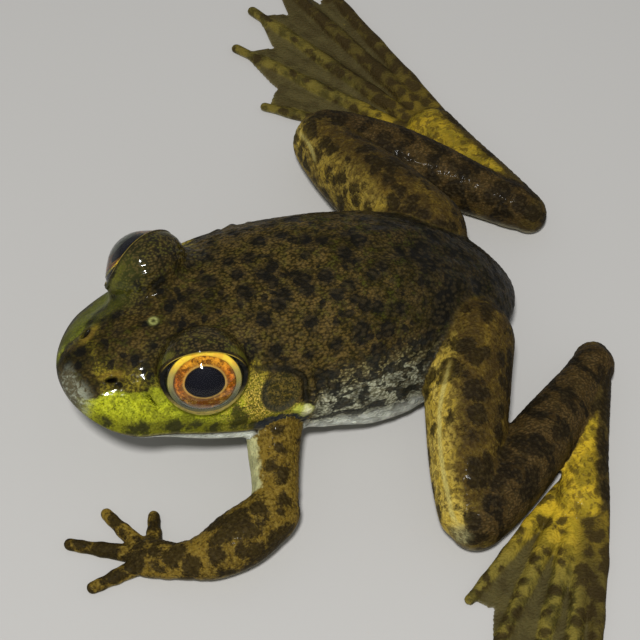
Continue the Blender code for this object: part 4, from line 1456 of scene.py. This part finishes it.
skin_mesh.vertices.foreach_set("co", world(clay.points).astype(np.float32).ravel())
skin_mesh.materials.clear()
skin_mesh.materials.append(skin_look)
skin_mesh.update()
skin_mesh.shade_smooth()
skin = bpy.data.objects.new("skin", skin_mesh)
bpy.context.scene.collection.objects.link(skin)
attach(skin, "root")
flesh = [name for name in frame["nodes"] if not name.startswith("eye_")]
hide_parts(*flesh)
print("skin replaces", len(flesh), "solids with", len(skin_mesh.polygons), "faces")

# %% [markdown]
# ## Eyes
# A frog's eye has a flat golden iris behind a clear dome, so the eyeball is turned as a ball
# with its front cut flat and the black lens bulging out of it. A clear cornea stands over it
# and bends the light as a real one does. A painted ball would look right from the front only.

# %% The eyeball's shape
BALL = EYE_RADIUS - 0.12
PUPIL = (2.1, 2.1, 1.6)
IRIS = (3.5, 3.5, 3.15)


def oval(angle, side, top, bottom):
    """Radius of an oval whose upper and lower halves differ."""
    up = np.sin(angle)
    tall = np.where(up > 0, top, bottom)
    return 1.0 / np.sqrt((np.cos(angle) / side) ** 2 + (up / tall) ** 2)


def eyeball_rings(sectors):
    """Rings of an eyeball that looks along +Z, from the middle of the pupil to the back."""
    angle = math.tau * np.arange(sectors)[None, :] / sectors
    flat = np.linspace(0.06, 4.42, 74)[:, None]
    pupil, iris = oval(angle, *PUPIL), oval(angle, *IRIS)
    height = IRIS_HEIGHT + 0.9 * np.sqrt(np.clip(1 - (flat / pupil) ** 2, 0, 1))
    height = height + 0.07 * swell(flat - pupil - 0.16, 0.2)
    fibres = np.sin(angle * 44 + 3 * np.sin(flat * 2.0)) * np.sin(angle * 17 + flat * 3.0)
    height = height + 0.018 * fibres * smooth(pupil + 0.1, pupil + 0.5, flat) * smooth(iris, iris - 0.3, flat)
    height = height + 0.14 * smooth(iris - 0.05, iris + 0.3, flat)
    front = np.stack([flat * np.cos(angle), flat * np.sin(angle), height], -1)
    start = math.asin(4.5 / BALL)
    tilt = (start + (math.pi - 0.03 - start) * np.linspace(0, 1, 40) ** 1.1)[:, None]
    ball = [BALL * np.sin(tilt) * np.cos(angle), BALL * np.sin(tilt) * np.sin(angle)]
    rest = np.stack([*ball, BALL * np.cos(tilt) + 0 * angle], -1)
    return np.concatenate([front, rest])


print("eyeball rings:", eyeball_rings(160).shape)


# %% A mesh from rings
def mesh_of_rings(name, rings):
    rows, count = rings.shape[:2]
    points = np.concatenate([rings.reshape(-1, 3), [rings[0].mean(0)], [rings[-1].mean(0)]])
    faces = []
    for k in range(rows - 1):
        for j in range(count):
            n = (j + 1) % count
            faces.append((k * count + j, (k + 1) * count + j, (k + 1) * count + n, k * count + n))
    last = (rows - 1) * count
    for j in range(count):
        n = (j + 1) % count
        faces.append((j, n, rows * count))
        faces.append((last + n, last + j, rows * count + 1))
    mesh = bpy.data.meshes.new(name)
    mesh.from_pydata((points * MM).tolist(), [], faces)
    mesh.shade_smooth()
    return mesh


eyeball_mesh = mesh_of_rings("eyeball", eyeball_rings(160))
print("eyeball faces:", len(eyeball_mesh.polygons))

# %% Places on the eye
iris_look, shader, w = new_material("eye_iris", Roughness=0.6, Specular_IOR_Level=0.03)
place = millimetres(w)
across, up, high = (w.node("ShaderNodeSeparateXYZ", None, {0: place}, axis) for axis in range(3))


def oval_reach(side, top, bottom):
    """Below 1 inside an oval, above 1 outside it."""
    tall = up.most(0.0) / top + (0.0 - up).most(0.0) / bottom
    return ((across / side) ** 2 + tall**2) ** 0.5


pupil, iris = oval_reach(*PUPIL), oval_reach(*IRIS)
radius = (across**2 + up**2) ** 0.5
spoke = w.vector("NORMALIZE", w.vector("MULTIPLY", place, (1, 1, 0)), (0, 0, 0))
spoke = w.vector("MULTIPLY", spoke, (6, 6, 0))
spoke = w.vector("ADD", spoke, w.vector("MULTIPLY", place, (0.5, 0.5, 0)))
fleck = w.noise(spoke, 2.2, 5, 0.7)
clump = w.noise(place, 0.9, 3, 0.6)
blotch = w.noise(place, 1.8, 4, 0.65)
print("nodes for places on the eye:", len(w.tree.nodes))

# %% Iris, pupil and rim
gold = layered(
    clump.step(0.38, 0.62).mix((0.42, 0.1, 0.003), (0.68, 0.23, 0.008)),
    (up.step(0.9, 2.6) * 0.55, (0.5, 0.27, 0.015)),
    (up.step(-0.2, -2.2), (0.095, 0.055, 0.01)),
    (blotch.step(0.44, 0.58) * 0.9, (0.07, 0.018, 0.002)),
    (blotch.step(0.46, 0.34) * 0.5, (0.75, 0.34, 0.03)),
    (fleck.step(0.48, 0.62) * 0.5, (0.08, 0.028, 0.004)),
    (pupil.step(1.45, 1.15) * 0.5, (0.1, 0.045, 0.006)),
    (iris.step(0.86, 1.0) * up.step(2.6, 1.0) * 0.6, (0.1, 0.05, 0.01)),
)
rim = layered(
    up.step(-1.6, 0.8).mix((0.085, 0.085, 0.045), (0.24, 0.2, 0.05)),
    (up.step(0.9, 3.0), clump.step(0.4, 0.6).mix((0.66, 0.48, 0.04), (0.6, 0.34, 0.03))),
    (up.step(-1.4, -2.8), (0.05, 0.055, 0.042)),
)
seam = iris.step(0.95, 0.99) * iris.step(1.05, 1.01) * up.step(1.8, 0.4)
colour = layered(
    gold,
    (pupil.step(1.17, 1.07) * 0.7, (0.34, 0.22, 0.05)),
    (pupil.step(1.045, 0.985), (0.002, 0.002, 0.004)),
    (iris.step(1.0, 1.05), rim),
    (seam * 0.7, (0.012, 0.008, 0.003)),
    # Past the iris and down its sides the ball is painted near black: partly its dark sclera, partly painted
    # shade of the recess under the lids.
    (radius.step(4.42, 4.5), (0.006, 0.006, 0.005)),
    (high.step(1.6, 1.3), (0.006, 0.006, 0.005)),
)
w.tree.links.new(colour.socket, shader.inputs["Base Color"])
bump = w.node("ShaderNodeBump", None, {"Strength": 0.5, "Distance": 0.00006, "Height": fleck}, "Normal")
w.tree.links.new(bump.socket, shader.inputs["Normal"])
print("nodes of the eye:", len(w.tree.nodes))

# %% The clear cornea
clear_look, shader, w = new_material(
    "eye_clear", Roughness=0.0, IOR=1.34, Transmission_Weight=1.0, Base_Color=(0.96, 0.97, 1.0, 1.0)
)
rays = w.tree.nodes.new("ShaderNodeLightPath")
clear = w.tree.nodes.new("ShaderNodeBsdfTransparent")
either = w.tree.nodes.new("ShaderNodeMixShader")
# Light that is only making shadows passes the cornea, so the iris isn't left in the dark.
surface = shader.outputs[0].links[0].to_socket
w.tree.links.new(rays.outputs["Is Shadow Ray"], either.inputs[0])
w.tree.links.new(shader.outputs[0], either.inputs[1])
w.tree.links.new(clear.outputs[0], either.inputs[2])
w.tree.links.new(either.outputs[0], surface)
print("cornea nodes:", len(w.tree.nodes))

# %% Place the eyes
eyeball_mesh.materials.append(iris_look)
dome_rings = ball_rings(np.zeros(3), EYE_RADIUS, 96, 64)[::-1] * (1, 1, 0.9)
dome_rings[..., :2] *= 1 - 0.1 * smooth(1.8, 3.6, dome_rings[..., 2:])
for word, side in SIDES:
    eye = eyes[word]
    turn = np.column_stack([np.cross(eye["up"], eye["axis"]), eye["up"], eye["axis"]])
    spot = Matrix(turn.tolist()).to_4x4()
    spot.translation = Vector(world(eye["centre"]))
    ball = bpy.data.objects.new("eyeball_" + word, eyeball_mesh.copy())
    dome = bpy.data.objects.new("cornea_" + word, mesh_of_rings("cornea_" + word, dome_rings))
    dome.data.materials.append(clear_look)
    for piece in (ball, dome):
        bpy.context.scene.collection.objects.link(piece)
        piece.matrix_world = spot
        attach(piece, "root")
    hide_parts("eye_" + word)
print("cornea faces:", len(dome.data.polygons))

# %% [markdown]
# ## Floor, light and camera
# A plain grey floor, one small key light high on the frog's left and a little ahead, and a
# pale sky. The camera looks down on the frog's left side from above, with a long lens.

# %% Floor and lights
floor_look, shader, w = new_material("floor", Roughness=0.8, Base_Color=(0.42, 0.41, 0.39, 1.0))
bpy.ops.mesh.primitive_plane_add(size=4.0, location=(0, 0, 0))
floor = bpy.context.object
floor.name = "floor"
floor.data.materials.append(floor_look)


def area_light(name, place, size, power):
    lamp = bpy.data.lights.new(name, "AREA")
    lamp.shape = "DISK"
    lamp.size = size
    lamp.energy = power
    made = bpy.data.objects.new(name, lamp)
    made.location = place
    made.rotation_euler = (-Vector(place)).to_track_quat("-Z", "Y").to_euler()
    bpy.context.scene.collection.objects.link(made)
    return made


area_light("key", (0.27, -0.14, 0.57), 0.06, 4.4)
sky = bpy.data.worlds.new("sky")
sky.use_nodes = True
sky.node_tree.nodes["Background"].inputs["Color"].default_value = (0.95, 0.97, 1.0, 1.0)
sky.node_tree.nodes["Background"].inputs["Strength"].default_value = 0.3
bpy.context.scene.world = sky
bpy.context.scene.view_settings.view_transform = "Standard"
print("lights:", len(bpy.data.lights))

# %% Camera
AZIMUTH, ELEVATION, ROLL = (math.radians(a) for a in (68.58, 54.0, 4.0))
TARGET = np.array((-0.128, 0.117, 9.118))
DISTANCE = 314.33
SENSOR = 36.0
LENS = 139.0

level, rise = math.cos(ELEVATION), math.sin(ELEVATION)
away = np.array((math.sin(AZIMUTH) * level, -math.cos(AZIMUTH) * level, rise))
right = unit(np.cross((0.0, 0.0, 1.0), away))
upright = np.cross(away, right)
rolled_right = math.cos(ROLL) * right + math.sin(ROLL) * upright
rolled_up = -math.sin(ROLL) * right + math.cos(ROLL) * upright
camera = bpy.data.objects.new("camera", bpy.data.cameras.new("camera"))
camera.data.sensor_width = SENSOR
camera.data.lens = LENS
camera.data.clip_start = 0.01
camera.matrix_world = Matrix(np.column_stack([rolled_right, rolled_up, away]).tolist()).to_4x4()
camera.location = Vector(world(TARGET + away * DISTANCE))
bpy.context.scene.collection.objects.link(camera)
bpy.context.scene.camera = camera
print("camera at", [round(v, 3) for v in camera.location])

# %% [markdown]
# The last cell brings the view layer up to date.

# %% Finish
bpy.context.view_layer.update()
